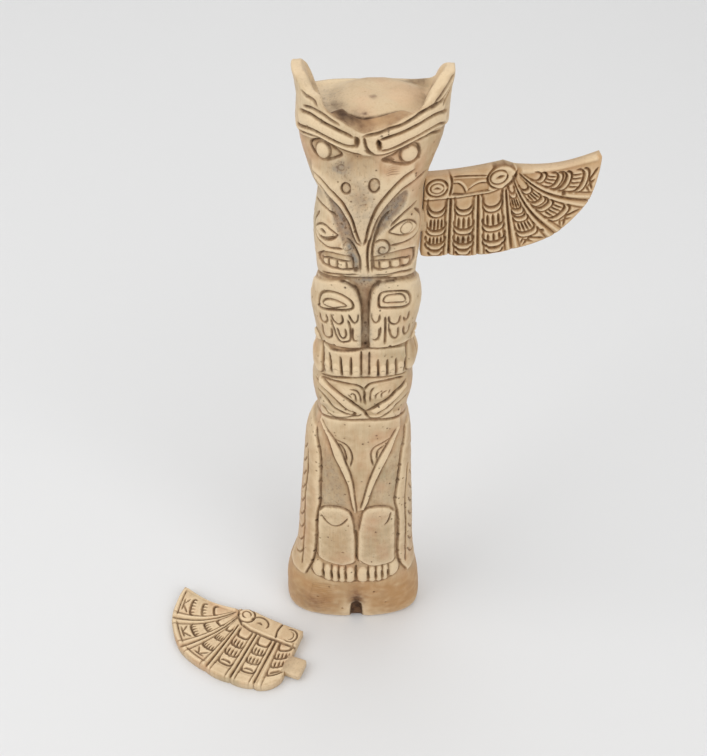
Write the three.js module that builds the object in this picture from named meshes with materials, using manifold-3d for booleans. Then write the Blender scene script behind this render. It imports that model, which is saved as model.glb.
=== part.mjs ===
// A carved bone totem pole, 216 mm tall, with two wings that plug into slots in its sides.
// The right wing is fitted and the left wing lies loose in front of the pole, carved face up.
// Millimetres, +Z up, carved front towards -Y, origin at the middle of the pole's flat underside.
import * as THREE from 'three';
import { mergeVertices } from 'three/addons/utils/BufferGeometryUtils.js';
import Module from 'manifold-3d';

const wasm = await Module();
wasm.setup();

// ---- driving dimensions of the pole ----

// The bare shaft, one row for each swelling or waist of its outline:
// height, left edge, right edge, depth in front, depth behind.
const SHAFT = [
  [0, -24.0, 23.8, 12.0, 14.5],
  [4, -24.6, 24.3, 12.8, 15.0],
  [12, -24.5, 23.8, 13.2, 15.0],
  [18, -23.6, 22.8, 13.4, 14.8],
  [24, -21.8, 21.6, 13.4, 14.4],
  [31, -19.8, 20.8, 13.4, 14.0],
  [52, -18.0, 19.9, 13.2, 13.2],
  [76, -16.0, 18.8, 12.4, 13.0],
  [86, -15.1, 18.4, 12.2, 13.0],
  [98, -11.3, 17.0, 12.2, 12.6],
  [110, -12.9, 18.8, 13.2, 12.6],
  [116, -11.8, 18.2, 13.2, 12.6],
  [122, -11.9, 19.1, 13.2, 12.6],
  [128, -10.1, 17.2, 12.8, 12.6],
  [143, -11.8, 19.4, 13.2, 13.0],
  [150, -10.5, 18.2, 12.8, 13.0],
  [166, -11.5, 19.1, 13.4, 13.4],
  [180, -9.9, 19.3, 13.8, 13.8],
  [187, -12.1, 20.8, 14.2, 14.0],
  [200, -14.7, 24.3, 14.8, 13.8],
  [208, -14.2, 24.6, 14.6, 13.4],
  [217, -15.4, 26.2, 13.6, 12.4],
];
// The carving's centre line leans with the bone: height, x.
const CENTRE_LINE = [
  [0, 0.9],
  [50, 0.9],
  [105, 3.2],
  [150, 3.2],
  [187, 2.0],
  [217, 2.2],
];
const SQUARENESS = 2.6;
const EDGE_EASING = 0.7;

// Rings of the carving: [lowest height, number of rows up to the next one].
const ROW_BANDS = [[1, 6], [21, 7], [33, 8], [60, 14], [100, 12], [119, 8], [131, 13], [157, 9], [171, 11], [196, 13]];
const STRETCH_FROM = 196;
const STRETCH_TO = 210;
const FRONT_COLUMNS = 11;
const FRONT_PITCH = 1.45;
const BACK_STEPS = [0.08, 0.17, 0.26, 0.36, 0.53, 0.76];

// The rim of the crown: arc length from the centre line, height. Two ears stand over a dip in front.
const RIM = [
  [-56, 204.2],
  [-40, 204.6],
  [-34, 206],
  [-30, 210.5],
  [-27.2, 215.6],
  [-24.6, 216.4],
  [-21, 216.1],
  [-18.3, 215.2],
  [-16.4, 213],
  [-12.4, 211.8],
  [-9.9, 209.2],
  [-7.2, 207.2],
  [-4.5, 205.9],
  [0.5, 203.1],
  [6, 204.6],
  [14, 208.1],
  [17.6, 210.2],
  [20, 212.4],
  [22.5, 215],
  [24.8, 216.1],
  [27, 216],
  [29.4, 216.2],
  [33, 212],
  [38, 206.5],
  [44, 204.8],
  [62, 204.2],
];
// Inside the rim: a low lens-shaped dome, with a slope in front that starts at a crease.
const CROWN = { middle: [3.0, 0], lens: [6.0, 1.5], halfWidth: 12.8, halfDepth: 12, edge: 205.4, rise: 1.8 };
const CREASE = [[-9, -3], [-6.4, -5.2], [-1.1, -9.7], [2.7, -10.6], [8.9, -8.8], [13.4, -7.1], [18.1, -0.2]];
const CROWN_RINGS = [0.95, 0.88, 0.78, 0.66, 0.5, 0.25];
const EAR_TOP = 2.4;
const EAR_FALL = 6;
const RIM_FALL = 2.4;
const NOTCH = { width: 3.8, height: 10.5, depth: 3.0 };

// ---- driving dimensions of the wings ----

const WING = {
  thickness: 3.8,
  easing: 0.5,
  rootTop: [0, 0],
  rootBottom: [-0.2, -26.3],
  shoulder: [22.3, 2.4],
  shoulderNotch: [25.8, 1.0],
  tip: [49.4, 3.7],
  featherEnds: [[7.9, -26.5], [16.6, -27.2], [26.6, -26.0], [39.0, -21.6], [47.6, -10.8]],
  bulge: 0.9,
  rootBulge: 0.9,
  bows: [0, 0, 0, 0.3, 2.3, 3.0, 1.75],
  barAtRoot: 7.7,
  barAtShoulder: 5.2,
  columnsPerFeather: 6,
  rows: 9,
};
// The loose wing is worn round at the lower root corner.
const WORN_WING = { ...WING, rootBottom: [-0.1, -19.2], rootBulge: 2.6 };
const TAB = { top: -10.8, height: 7.5, thickness: 3.0, length: 6.0, overlap: 1.0 };
const SLOT_PLAY = 0.3;
const SWEEP = THREE.MathUtils.degToRad(6);
const FITTED_ROOT = [19.9, 0.2, 181];
const LEFT_SLOT_X = -11.6;
const LOOSE_ROOT = [-18.4, -21.2];
const LOOSE_TURN = THREE.MathUtils.degToRad(-20.4);

// ---- small helpers ----

const smooth = (from, to, value) => THREE.MathUtils.smoothstep(value, from, to);

/** Value of one column of a table at a height, by a monotone cubic through its rows. */
function alongHeight(table, column, z) {
  const last = table.length - 1;
  const height = THREE.MathUtils.clamp(z, table[0][0], table[last][0]);
  let i = 0;
  while (i < last - 1 && table[i + 1][0] < height) i += 1;
  const slope = (k) => (table[k + 1][column] - table[k][column]) / (table[k + 1][0] - table[k][0]);
  const tangent = (k) => {
    if (k === 0) return slope(0);
    if (k === last) return slope(last - 1);
    const below = slope(k - 1);
    const above = slope(k);
    return below * above > 0 ? (2 * below * above) / (below + above) : 0;
  };
  const step = table[i + 1][0] - table[i][0];
  const t = (height - table[i][0]) / step;
  const rest = 1 - t;
  return table[i][column] * (1 + 2 * t) * rest * rest + tangent(i) * step * t * rest * rest
    + table[i + 1][column] * t * t * (3 - 2 * t) - tangent(i + 1) * step * t * t * rest;
}

/** A smooth line through a few [s, z] points, as many short chords. */
function curve(points) {
  return new THREE.SplineCurve(points.map(([s, z]) => new THREE.Vector2(s, z))).getPoints(points.length * 4);
}

/** The same points on the other side of the centre line. */
const mirrored = (points) => points.map(([s, z]) => [-s, z]);

/** Distance from (s, z) to a line of chords. */
function distance(s, z, line) {
  let best = Infinity;
  for (let i = 1; i < line.length; i += 1) {
    const a = line[i - 1];
    const dx = line[i].x - a.x;
    const dz = line[i].y - a.y;
    const along = THREE.MathUtils.clamp(((s - a.x) * dx + (z - a.y) * dz) / (dx * dx + dz * dz + 1e-9), 0, 1);
    best = Math.min(best, Math.hypot(s - a.x - along * dx, z - a.y - along * dz));
  }
  return best;
}

/** A cut line: deepest on the line, back to the surface at its half width. */
function groove(points, halfWidth, depth) {
  const line = curve(points);
  return (s, z) => -depth * (1 - smooth(0, halfWidth, distance(s, z, line)));
}

/** A raised ribbon with a flat top and short flanks. */
function ribbon(points, halfWidth, height) {
  const line = curve(points);
  return (s, z) => height * (1 - smooth(halfWidth * 0.6, halfWidth * 1.4, distance(s, z, line)));
}

/** A rounded swelling over an oval, turned by an angle. */
function dome(s0, z0, halfS, halfZ, height, turn = 0) {
  return (s, z) => {
    const ds = (s - s0) * Math.cos(turn) + (z - z0) * Math.sin(turn);
    const dz = (z - z0) * Math.cos(turn) - (s - s0) * Math.sin(turn);
    const reach = (ds / halfS) ** 2 + (dz / halfZ) ** 2;
    return height * Math.max(0, 1 - reach);
  };
}

/** A cut ring along an oval. */
function ovalGroove(s0, z0, halfS, halfZ, halfWidth, depth) {
  return (s, z) => {
    const reach = Math.hypot((s - s0) / halfS, (z - z0) / halfZ);
    const away = Math.abs(reach - 1) * Math.min(halfS, halfZ);
    return -depth * (1 - smooth(0, halfWidth, away));
  };
}

/** A raised plate between two edges across and two heights, with rounded corners and flanks. */
function plate(inner, outer, low, high, corner, flank, height) {
  const midS = (inner + outer) / 2;
  const midZ = (low + high) / 2;
  return (s, z) => {
    const ds = Math.abs(s - midS) - (outer - inner) / 2 + corner;
    const dz = Math.abs(z - midZ) - (high - low) / 2 + corner;
    const outside = Math.hypot(Math.max(ds, 0), Math.max(dz, 0)) + Math.min(Math.max(ds, dz), 0) - corner;
    return height * (1 - smooth(-flank, 0, outside));
  };
}

/** A band that runs round the front and fades out before the sides. */
function ring(height, halfWidth, depth) {
  return (s, z) => {
    const sag = 4.5 * Math.min(1.3, (s / 20) ** 2);
    const fade = 1 - smooth(15, 21, Math.abs(s));
    return -depth * (0.25 + 0.75 * fade) * (1 - smooth(0, halfWidth, Math.abs(z - height + sag)));
  };
}

// ---- the carving, tier by tier, as heights over the bare shaft ----

/** Slanting brow bars, almond eyes, and the big beak with its lips between sunken cheeks. */
function headCarving() {
  const beak = [[14, 190], [7.8, 186], [4.1, 180.7], [1.9, 175], [0.7, 168.5]];
  const lip = [[17, 187], [10, 184], [6, 179.5], [3.3, 173.5], [1.9, 167]];
  const cheek = [[11.5, 183], [7.8, 178], [5.2, 172.5], [3.4, 166], [2.8, 160]];
  const parts = [
    groove([[-19, 205.8], [-10, 205.6], [-4, 203.1], [-1.2, 200.5]], 1.0, 0.8),
    groove([[-20, 201.2], [-12, 202.8], [-5.1, 200.5], [-1.2, 199.7]], 0.9, 0.7),
    groove([[-19, 199.2], [-11.4, 200.4], [-6.1, 198.8], [0, 197]], 1.1, 0.8),
    groove([[0.3, 202.4], [9.9, 205.4], [19, 209.1], [24, 207]], 1.0, 0.8),
    groove([[4.1, 201.3], [12.9, 204], [24, 204.8]], 0.9, 0.7),
    groove([[4.7, 198.2], [10.4, 200.1], [20.6, 202.9], [24.5, 200.5]], 1.1, 0.9),
    ovalGroove(-10, 197, 5.2, 3.0, 1.2, 0.7),
    ovalGroove(11.4, 195.8, 5.6, 3.0, 1.2, 0.7),
    dome(-10.4, 196.8, 2.8, 2.6, 0.6),
    dome(12.4, 196.1, 3.0, 2.7, 0.6),
    ribbon(lip, 1.5, 0.9),
    ribbon(mirrored(lip), 1.3, 0.9),
    groove(beak, 1.1, 0.7),
    groove(mirrored(beak), 1.1, 0.7),
    ribbon(cheek, 1.9, -1.1),
    ribbon(mirrored(cheek), 2.1, -1.1),
  ];
  const beakRise = (s, z) => {
    const up = THREE.MathUtils.clamp((z - 168) / 22, 0, 1);
    const halfWidth = 0.9 + 6.5 * up ** 1.8 + 6 * up ** 6;
    return 1.3 * smooth(166, 172, z) * (1 - smooth(188, 200, z)) * (1 - smooth(0.6, 1.1, Math.abs(s) / halfWidth));
  };
  return [...parts, beakRise];
}

/** The second face: round eyes in ringed sockets, nostrils, and a wide mouth with teeth. */
function secondFaceCarving() {
  const parts = [
    ovalGroove(-11.6, 170.2, 6.6, 5.0, 1.2, 0.6),
    ovalGroove(13.2, 171.8, 6.6, 5.2, 1.2, 0.6),
    dome(-11.2, 170.6, 4.6, 2.6, 0.8),
    dome(11.9, 172.3, 4.6, 2.6, 0.8),
    dome(-4.9, 166.6, 2.4, 2.6, 0.7),
    dome(5.0, 166.9, 2.6, 2.6, 0.7),
    groove([[-15, 160.4], [-10.2, 163.7], [-3.4, 163.9]], 1.0, 0.8),
    groove([[15, 163.4], [9, 164.6], [3, 164]], 1.0, 0.8),
    groove([[-13, 155.4], [-7, 157], [-2.5, 157.5]], 1.0, 0.7),
    groove([[16, 155.6], [9, 157.1], [3, 157.2]], 1.0, 0.7),
    ring(156, 1.7, 1.0),
  ];
  for (const side of [-1, 1]) {
    const low = side < 0 ? 157.8 : 158;
    parts.push(plate(Math.min(side * 3, side * 15), Math.max(side * 3, side * 15), low, 163, 1.5, 1.2, -0.6));
    for (let tooth = 0; tooth < 4; tooth += 1) parts.push(dome(side * (4.4 + 2.9 * tooth), 160.4, 1.5, 2.0, 0.7));
  }
  return parts;
}

/** Two broad paws with an oval on each and two rows of scallops below it. */
function pawCarving() {
  const parts = [
    plate(-16, -1.0, 131.5, 154.6, 3.5, 1.3, 1.0),
    plate(1.5, 17, 131.5, 154.8, 3.5, 1.3, 1.0),
    ovalGroove(-8.8, 147.3, 5.0, 2.9, 1.1, 0.7),
    ovalGroove(8.8, 148.5, 4.9, 2.9, 1.1, 0.7),
    ring(130.4, 1.3, 0.8),
  ];
  for (const [middle, low] of [[-12.6, 139], [-7.9, 139.8], [-3, 140.6], [3, 140.8], [8.5, 139.6], [13, 139.6]]) {
    for (const drop of [0, 6]) {
      const bottom = low - drop;
      const scallop = [[middle - 2, bottom + 3], [middle - 1.2, bottom + 0.4], [middle, bottom]];
      parts.push(groove([...scallop, [middle + 1.2, bottom + 0.4], [middle + 2, bottom + 3]], 0.9, 0.5));
    }
  }
  return parts;
}

/** A comb of upright fingers, with a round knob at each end. */
function combCarving() {
  const parts = [
    plate(-13.6, 13.4, 119.8, 130, 1.5, 1.2, 0.8),
    dome(-17, 125, 3.6, 7, 0.7),
    dome(17, 125, 3.6, 7, 0.7),
    ring(118.6, 1.2, 0.7),
  ];
  for (const slit of [-10.3, -6.9, -3.9, -0.6, 2, 4.2, 6.9, 9.5, 12.6]) {
    parts.push(groove([[slit, 127.5], [slit, 124], [slit, 120.4]], 0.9, 0.9));
  }
  return parts;
}

/** Crossed arms: slanting bands that meet on the centre line. */
function armCarving() {
  const bands = [
    [[13.2, 113.6], [9, 111.5], [5.2, 108.4], [0.8, 105]],
    [[13.6, 110.8], [9.4, 108.6], [6, 105.9], [3.4, 103.4]],
    [[13.6, 107.4], [9.4, 105], [6, 102.2]],
  ];
  const parts = [
    groove([[-14, 115.8], [-4.3, 116.5], [0, 114], [4.7, 117], [12, 116.8]], 1.0, 0.7),
    groove([[0.2, 114], [0.3, 108]], 1.0, 0.7),
    dome(-4, 112.4, 3.2, 2.4, 0.6),
    dome(5, 112.8, 3.2, 2.4, 0.6),
    ring(101.2, 1.6, 1.1),
  ];
  for (const band of bands) parts.push(groove(band, 1.0, 0.8), groove(mirrored(band), 1.0, 0.8));
  return parts;
}

/** The bottom figure: a long tapering face between folded wings, over two shins with toes. */
function bottomFigureCarving() {
  const edge = [[13, 94.5], [9, 88.5], [6, 81], [3.2, 72.5], [1.2, 62]];
  const wingEdge = [[16.2, 91], [13.6, 79], [13.2, 63], [14.4, 47], [15.2, 33], [18.6, 22]];
  const parts = [];
  for (const side of [-1, 1]) {
    const turned = side < 0 ? mirrored : (points) => points;
    const from = Math.min(side * 0.9, side * 13.4);
    parts.push(
      ribbon(turned(edge), 1.5, 0.8),
      groove(turned(wingEdge), 1.4, 1.5),
      dome(side * 5.4, 86.4, 1.9, 5.6, 0.6, side * 0.4),
      plate(from, from + 12.5, 32, 60.5, 3.8, 1.5, 1.3),
      groove(turned([[12.2, 57], [9.6, 53.2], [6.8, 52], [4.2, 54]]), 1.0, 0.6),
      plate(from, from + 13.2, 22.8, 31.4, 2.0, 1.3, 1.0),
    );
    for (const slit of [3.7, 6.8, 10]) {
      parts.push(groove(turned([[slit, 30.5], [slit, 26.5], [slit, 23]]), 0.9, 0.9));
    }
    for (let feather = 0; feather < 9; feather += 1) {
      const high = 84 - 6.2 * feather;
      parts.push(groove(turned([[17, high], [21, high - 4], [25, high - 6]]), 1.2, 0.5));
    }
  }
  return parts;
}

const CARVING = [
  ...headCarving(),
  ...secondFaceCarving(),
  ...pawCarving(),
  ...combCarving(),
  ...armCarving(),
  ...bottomFigureCarving(),
];

/** Height of the carved surface over the bare shaft, at arc length s from the centre line. */
function relief(s, z) {
  const edge = z < 0.5 ? -EDGE_EASING : 0;
  return CARVING.reduce((sum, part) => sum + part(s, z), edge);
}

// ---- the shaft's surface ----

/** The bare section at a height: points and their arc lengths from the front centre. */
function sectionAt(z) {
  const steps = 240;
  const centre = alongHeight(CENTRE_LINE, 1, z);
  const left = centre - alongHeight(SHAFT, 1, z);
  const right = alongHeight(SHAFT, 2, z) - centre;
  const front = alongHeight(SHAFT, 3, z);
  const back = alongHeight(SHAFT, 4, z);
  const power = (value) => Math.sign(value) * Math.abs(value) ** (2 / SQUARENESS);
  const points = [];
  for (let i = 0; i <= steps; i += 1) {
    const turn = -Math.PI + (2 * Math.PI * i) / steps;
    const across = power(Math.sin(turn));
    const along = power(Math.cos(turn));
    points.push([centre + across * (across > 0 ? right : left), -along * (along > 0 ? front : back)]);
  }
  const lengths = [0];
  for (let i = 1; i <= steps; i += 1) {
    lengths.push(lengths[i - 1] + Math.hypot(points[i][0] - points[i - 1][0], points[i][1] - points[i - 1][1]));
  }
  const middle = lengths[steps / 2];
  return { points, lengths: lengths.map((length) => length - middle) };
}

/** Point and outward direction on a section at arc length s. */
function onSection({ points, lengths }, s) {
  let i = 1;
  while (i < lengths.length - 1 && lengths[i] < s) i += 1;
  const t = (s - lengths[i - 1]) / (lengths[i] - lengths[i - 1]);
  const [x0, y0] = points[i - 1];
  const [x1, y1] = points[i];
  const run = Math.hypot(x1 - x0, y1 - y0);
  return { x: x0 + t * (x1 - x0), y: y0 + t * (y1 - y0), nx: (y1 - y0) / run, ny: -(x1 - x0) / run };
}

/** Column positions round a section, from the back centre round the left side and back. */
function columnsOf(section) {
  const reach = FRONT_COLUMNS * FRONT_PITCH;
  const leftEnd = section.lengths[0];
  const rightEnd = section.lengths[section.lengths.length - 1];
  const columns = [leftEnd];
  for (const step of [...BACK_STEPS].reverse()) columns.push(-reach + step * (leftEnd + reach));
  for (let k = -FRONT_COLUMNS; k <= FRONT_COLUMNS; k += 1) columns.push(k * FRONT_PITCH);
  for (const step of BACK_STEPS) columns.push(reach + step * (rightEnd - reach));
  return columns;
}

/** A carved point of column i at height z, with its height over the bare shaft as a fourth number. */
function carvedPoint(i, z) {
  const section = sectionAt(z);
  const s = columnsOf(section)[i];
  const { x, y, nx, ny } = onSection(section, s);
  const lift = relief(s, z);
  return [x + nx * lift, y + ny * lift, z, lift];
}

/** Height of the crown well inside the rim at (x, y). */
function crownHeight(x, y) {
  const reach = ((x - CROWN.lens[0]) / CROWN.halfWidth) ** 2 + ((y - CROWN.lens[1]) / CROWN.halfDepth) ** 2;
  return CROWN.edge + CROWN.rise * Math.sqrt(Math.max(0, 1 - reach)) - 1.2 * smooth(4, 13, y);
}

/** A point of the crown on the way from a rim point to the middle: an ear's flank, the slope or the dome. */
function crownPoint([x, y, z], share) {
  const px = CROWN.middle[0] + (x - CROWN.middle[0]) * share;
  const py = CROWN.middle[1] + (y - CROWN.middle[1]) * share;
  const inward = (1 - share) * Math.hypot(x - CROWN.middle[0], y - CROWN.middle[1]);
  const earShare = smooth(209, 214, z);
  const top = THREE.MathUtils.lerp(0.6, EAR_TOP, earShare);
  const fall = THREE.MathUtils.lerp(RIM_FALL, EAR_FALL, earShare);
  const inner = crownHeight(px, py);
  const behindRim = THREE.MathUtils.lerp(z, inner, smooth(top, fall, inward));
  const crease = alongHeight(CREASE, 1, px);
  if (py >= crease || y > -6) return [px, py, behindRim, 0];
  const slope = crownHeight(px, crease) - ((crease - py) / (crease - y)) * (crownHeight(px, crease) - z + 0.8);
  return [px, py, THREE.MathUtils.lerp(z, slope, smooth(0, 1.4, inward)), 0];
}

/** The rings of the pole's skin, from the foot to the middle of the crown. */
function poleRings() {
  const heights = [0];
  ROW_BANDS.forEach(([low, rows], band) => {
    const high = band + 1 < ROW_BANDS.length ? ROW_BANDS[band + 1][0] : STRETCH_TO;
    for (let row = 0; row < rows; row += 1) heights.push(low + ((high - low) * row) / rows);
  });
  heights.push(STRETCH_TO);
  const rimColumns = columnsOf(sectionAt(STRETCH_TO));
  const rimHeights = rimColumns.map((s) => alongHeight(RIM, 1, s));
  const rings = heights.map((height) => rimHeights.map((rimHeight, i) => {
    const share = Math.max(0, height - STRETCH_FROM) / (STRETCH_TO - STRETCH_FROM);
    const z = height > STRETCH_FROM ? STRETCH_FROM + share * (rimHeight - STRETCH_FROM) : height;
    return carvedPoint(i, z);
  }));
  const rim = rings[rings.length - 1];
  for (const share of CROWN_RINGS) rings.push(rim.map((point) => crownPoint(point, share)));
  return rings;
}

/** The pole before its slots are cut: a carved skin, a flat underside and the crown. */
function poleGeometry() {
  const rings = poleRings();
  const columnCount = rings[0].length;
  const positions = rings.flatMap((points) => points.flatMap(([x, y, z]) => [x, y, z]));
  const bottomCentre = positions.length / 3;
  positions.push(0, 0, 0);
  const topCentre = bottomCentre + 1;
  positions.push(...CROWN.middle, crownHeight(...CROWN.middle));
  const index = [];
  const at = (ringIndex, i) => ringIndex * columnCount + (i % columnCount);
  for (let i = 0; i < columnCount; i += 1) {
    const next = (i + 1) % columnCount;
    index.push(bottomCentre, at(0, next), at(0, i));
    for (let j = 1; j < rings.length; j += 1) {
      const [a, b, c, d] = [at(j - 1, i), at(j - 1, next), at(j, next), at(j, i)];
      const rising = Math.abs(rings[j - 1][i][3] - rings[j][next][3]);
      const falling = Math.abs(rings[j - 1][next][3] - rings[j][i][3]);
      // Each quad folds along the diagonal that follows the cut.
      if (rising <= falling) index.push(a, b, c, a, c, d);
      else index.push(a, b, d, b, c, d);
    }
    index.push(topCentre, at(rings.length - 1, i), at(rings.length - 1, next));
  }
  return indexedGeometry(positions, index);
}

function indexedGeometry(positions, index) {
  const geometry = new THREE.BufferGeometry();
  geometry.setAttribute('position', new THREE.Float32BufferAttribute(positions, 3));
  geometry.setIndex(index);
  return geometry;
}

// ---- booleans ----

/** A closed solid from a geometry, with its shared vertices merged. */
function solidOf(geometry) {
  const bare = geometry.clone();
  bare.deleteAttribute('normal');
  bare.deleteAttribute('uv');
  const merged = mergeVertices(bare, 1e-4);
  return new wasm.Manifold(new wasm.Mesh({
    numProp: 3,
    vertProperties: new Float32Array(merged.attributes.position.array),
    triVerts: new Uint32Array(merged.index.array),
  }));
}

function geometryOf(solid) {
  const mesh = solid.getMesh();
  return indexedGeometry(Array.from(mesh.vertProperties), Array.from(mesh.triVerts));
}

// ---- the wings ----

/** Point of the wing's outline grid: c runs from the root to the tip feather, t down the feather, which bows. */
function wingPoint(wing, c, t) {
  const feathers = wing.featherEnds.length + 1;
  const place = c * feathers;
  const feather = Math.min(feathers - 1, Math.floor(place));
  const part = place - feather;
  const notches = [wing.rootBottom, ...wing.featherEnds, wing.tip];
  const [u0, v0] = notches[feather];
  const [u1, v1] = notches[feather + 1];
  const chord = Math.hypot(u1 - u0, v1 - v0);
  const height = feather === 0 ? wing.rootBulge : wing.bulge;
  const bulge = height * Math.sqrt(Math.max(0, Math.sin(Math.PI * part)));
  const endU = u0 + (u1 - u0) * part + (bulge * (v1 - v0)) / chord;
  const endV = v0 + (v1 - v0) * part - (bulge * (u1 - u0)) / chord;
  const half = feathers / 2;
  const toShoulder = Math.min(1, place / half);
  const pastShoulder = Math.max(0, place - half) / half;
  const startU = wing.shoulder[0] * toShoulder + (wing.shoulderNotch[0] - wing.shoulder[0]) * pastShoulder;
  const startV = wing.shoulder[1] * toShoulder ** 2 + (wing.shoulderNotch[1] - wing.shoulder[1]) * pastShoulder;
  const runU = endU - startU;
  const runV = endV - startV;
  const bowed = THREE.MathUtils.lerp(wing.bows[feather], wing.bows[feather + 1], part) * Math.sin(Math.PI * t);
  const across = bowed / Math.hypot(runU, runV);
  return [startU + runU * t + across * runV, startV + runV * t - across * runU];
}

/** Height of the wing's carved face: a raised bar on top and a cut between every two feathers. */
function wingRelief(c, t, u, v) {
  const feathers = WING.featherEnds.length + 1;
  const barDrop = THREE.MathUtils.lerp(WING.barAtRoot, WING.barAtShoulder, Math.min(1, u / WING.shoulder[0]));
  const onBar = c <= 0.55 ? 1 - smooth(barDrop - 0.8, barDrop + 0.8, -v) : 1 - smooth(0.12, 0.3, t);
  const place = c * feathers;
  const toCut = Math.abs(place - Math.round(place));
  const inner = c > 0.01 && c < 0.99;
  const cut = inner ? -0.55 * (1 - smooth(0, 0.16, toCut)) * (1 - onBar) : 0;
  return 0.45 * onBar + cut;
}

/** A right wing with its tab, root corner at the origin, span along +X, carved face at z = 0. */
function wingGeometry(wing) {
  const columnCount = (WING.featherEnds.length + 1) * WING.columnsPerFeather;
  const front = [];
  const back = [];
  for (let i = 0; i <= columnCount; i += 1) {
    for (let j = 0; j <= WING.rows; j += 1) {
      const c = i / columnCount;
      const t = j / WING.rows;
      const [u, v] = wingPoint(wing, c, t);
      const onEdge = i === 0 || i === columnCount || j === 0 || j === WING.rows;
      front.push([u, v, onEdge ? -WING.easing : wingRelief(c, t, u, v)]);
      back.push([u, v, -WING.thickness]);
    }
  }
  const at = (i, j) => i * (WING.rows + 1) + j;
  const index = [];
  for (let i = 0; i < columnCount; i += 1) {
    for (let j = 0; j < WING.rows; j += 1) {
      index.push(at(i, j), at(i, j + 1), at(i + 1, j + 1));
      index.push(at(i, j), at(i + 1, j + 1), at(i + 1, j));
    }
  }
  const rim = [];
  for (let j = 0; j < WING.rows; j += 1) rim.push(at(0, j));
  for (let i = 0; i < columnCount; i += 1) rim.push(at(i, WING.rows));
  for (let j = WING.rows; j > 0; j -= 1) rim.push(at(columnCount, j));
  for (let i = columnCount; i > 0; i -= 1) rim.push(at(i, 0));
  const positions = [...front.flat(), ...rim.flatMap((k) => back[k])];
  const base = front.length;
  const outline = rim.map((k) => new THREE.Vector2(back[k][0], back[k][1]));
  for (const [a, b, d] of THREE.ShapeUtils.triangulateShape(outline, [])) index.push(base + a, base + d, base + b);
  rim.forEach((k, n) => {
    const next = (n + 1) % rim.length;
    index.push(k, base + n, base + next, k, base + next, rim[next]);
  });
  const tab = new THREE.BoxGeometry(TAB.length + TAB.overlap, TAB.height, TAB.thickness);
  tab.translate((TAB.overlap - TAB.length) / 2, TAB.top - TAB.height / 2, -WING.thickness / 2);
  return geometryOf(solidOf(indexedGeometry(positions, index)).add(solidOf(tab)));
}

/** The frame of a fitted wing: span outwards and a little back, carved face to the front. */
function fittedFrame(side, root) {
  const span = new THREE.Vector3(side * Math.cos(SWEEP), Math.sin(SWEEP), 0);
  const up = new THREE.Vector3(0, 0, 1);
  const face = new THREE.Vector3(side * Math.sin(SWEEP), -Math.cos(SWEEP), 0);
  return new THREE.Matrix4().makeBasis(span, up, face).setPosition(...root);
}

/** The slot for a tab, cut a little larger all round and open at the pole's side. */
function slotGeometry(side, root) {
  const mouth = 4;
  const depth = TAB.length + SLOT_PLAY;
  const slot = new THREE.BoxGeometry(depth + mouth, TAB.height + 2 * SLOT_PLAY, TAB.thickness + 2 * SLOT_PLAY);
  slot.translate((mouth - depth) / 2, TAB.top - TAB.height / 2, -WING.thickness / 2);
  slot.applyMatrix4(fittedFrame(side, root));
  return side < 0 ? turnedInsideOut(slot) : slot;
}

/** The same surface with every triangle reversed, after a mirrored placing. */
function turnedInsideOut(geometry) {
  const index = Array.from(geometry.index.array);
  for (let k = 0; k < index.length; k += 3) [index[k + 1], index[k + 2]] = [index[k + 2], index[k + 1]];
  geometry.setIndex(index);
  return geometry;
}

/** The small arched notch at the foot of the plinth. */
function notchGeometry() {
  const half = NOTCH.width / 2;
  const arch = new THREE.Shape();
  arch.moveTo(-half, -1);
  arch.lineTo(half, -1);
  arch.lineTo(half * 0.8, NOTCH.height - half);
  arch.absarc(0, NOTCH.height - half, half * 0.8, 0, Math.PI);
  arch.lineTo(-half, -1);
  const notch = new THREE.ExtrudeGeometry(arch, { depth: 2 * NOTCH.depth, bevelEnabled: false, curveSegments: 6 });
  notch.rotateX(Math.PI / 2);
  const frontDepth = alongHeight(SHAFT, 3, NOTCH.height);
  notch.translate(alongHeight(CENTRE_LINE, 1, 0), -frontDepth + NOTCH.depth, 0);
  return notch;
}

// ---- the object ----

const bone = new THREE.MeshStandardMaterial({ color: 0xe3ceb0, roughness: 0.55, metalness: 0 });
const wingBone = new THREE.MeshStandardMaterial({ color: 0xdcbf8e, roughness: 0.5, metalness: 0 });

const totemPole = new THREE.Group();

const carvedPole = solidOf(poleGeometry())
  .subtract(solidOf(slotGeometry(1, FITTED_ROOT)))
  .subtract(solidOf(slotGeometry(-1, [LEFT_SLOT_X, FITTED_ROOT[1], FITTED_ROOT[2]])))
  .subtract(solidOf(notchGeometry()));
const pole = new THREE.Mesh(geometryOf(carvedPole), bone);
pole.name = 'pole';
totemPole.add(pole);

const fittedWing = new THREE.Mesh(wingGeometry(WING), wingBone);
fittedWing.name = 'fitted_wing';
fittedWing.applyMatrix4(fittedFrame(1, FITTED_ROOT));
totemPole.add(fittedWing);

const mirroredWing = wingGeometry(WORN_WING);
mirroredWing.scale(-1, 1, 1);
const looseWing = new THREE.Mesh(turnedInsideOut(mirroredWing), wingBone);
looseWing.name = 'loose_wing';
looseWing.position.set(LOOSE_ROOT[0], LOOSE_ROOT[1], WING.thickness);
looseWing.rotation.z = LOOSE_TURN;
totemPole.add(looseWing);

export default totemPole;
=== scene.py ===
"""A carved bone totem pole with two plug-in wings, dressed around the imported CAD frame.

The carving is drawn in millimetres on the unrolled shaft: s is the distance round the shaft from the
carving's centre line, positive towards the fitted wing, and z is the height over the table. Meshes are
made in metres, in the frame's own axes, with the carved front towards -Y.
"""
import logging
import math
from collections.abc import Sequence
from dataclasses import dataclass, field
from enum import Enum

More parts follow.
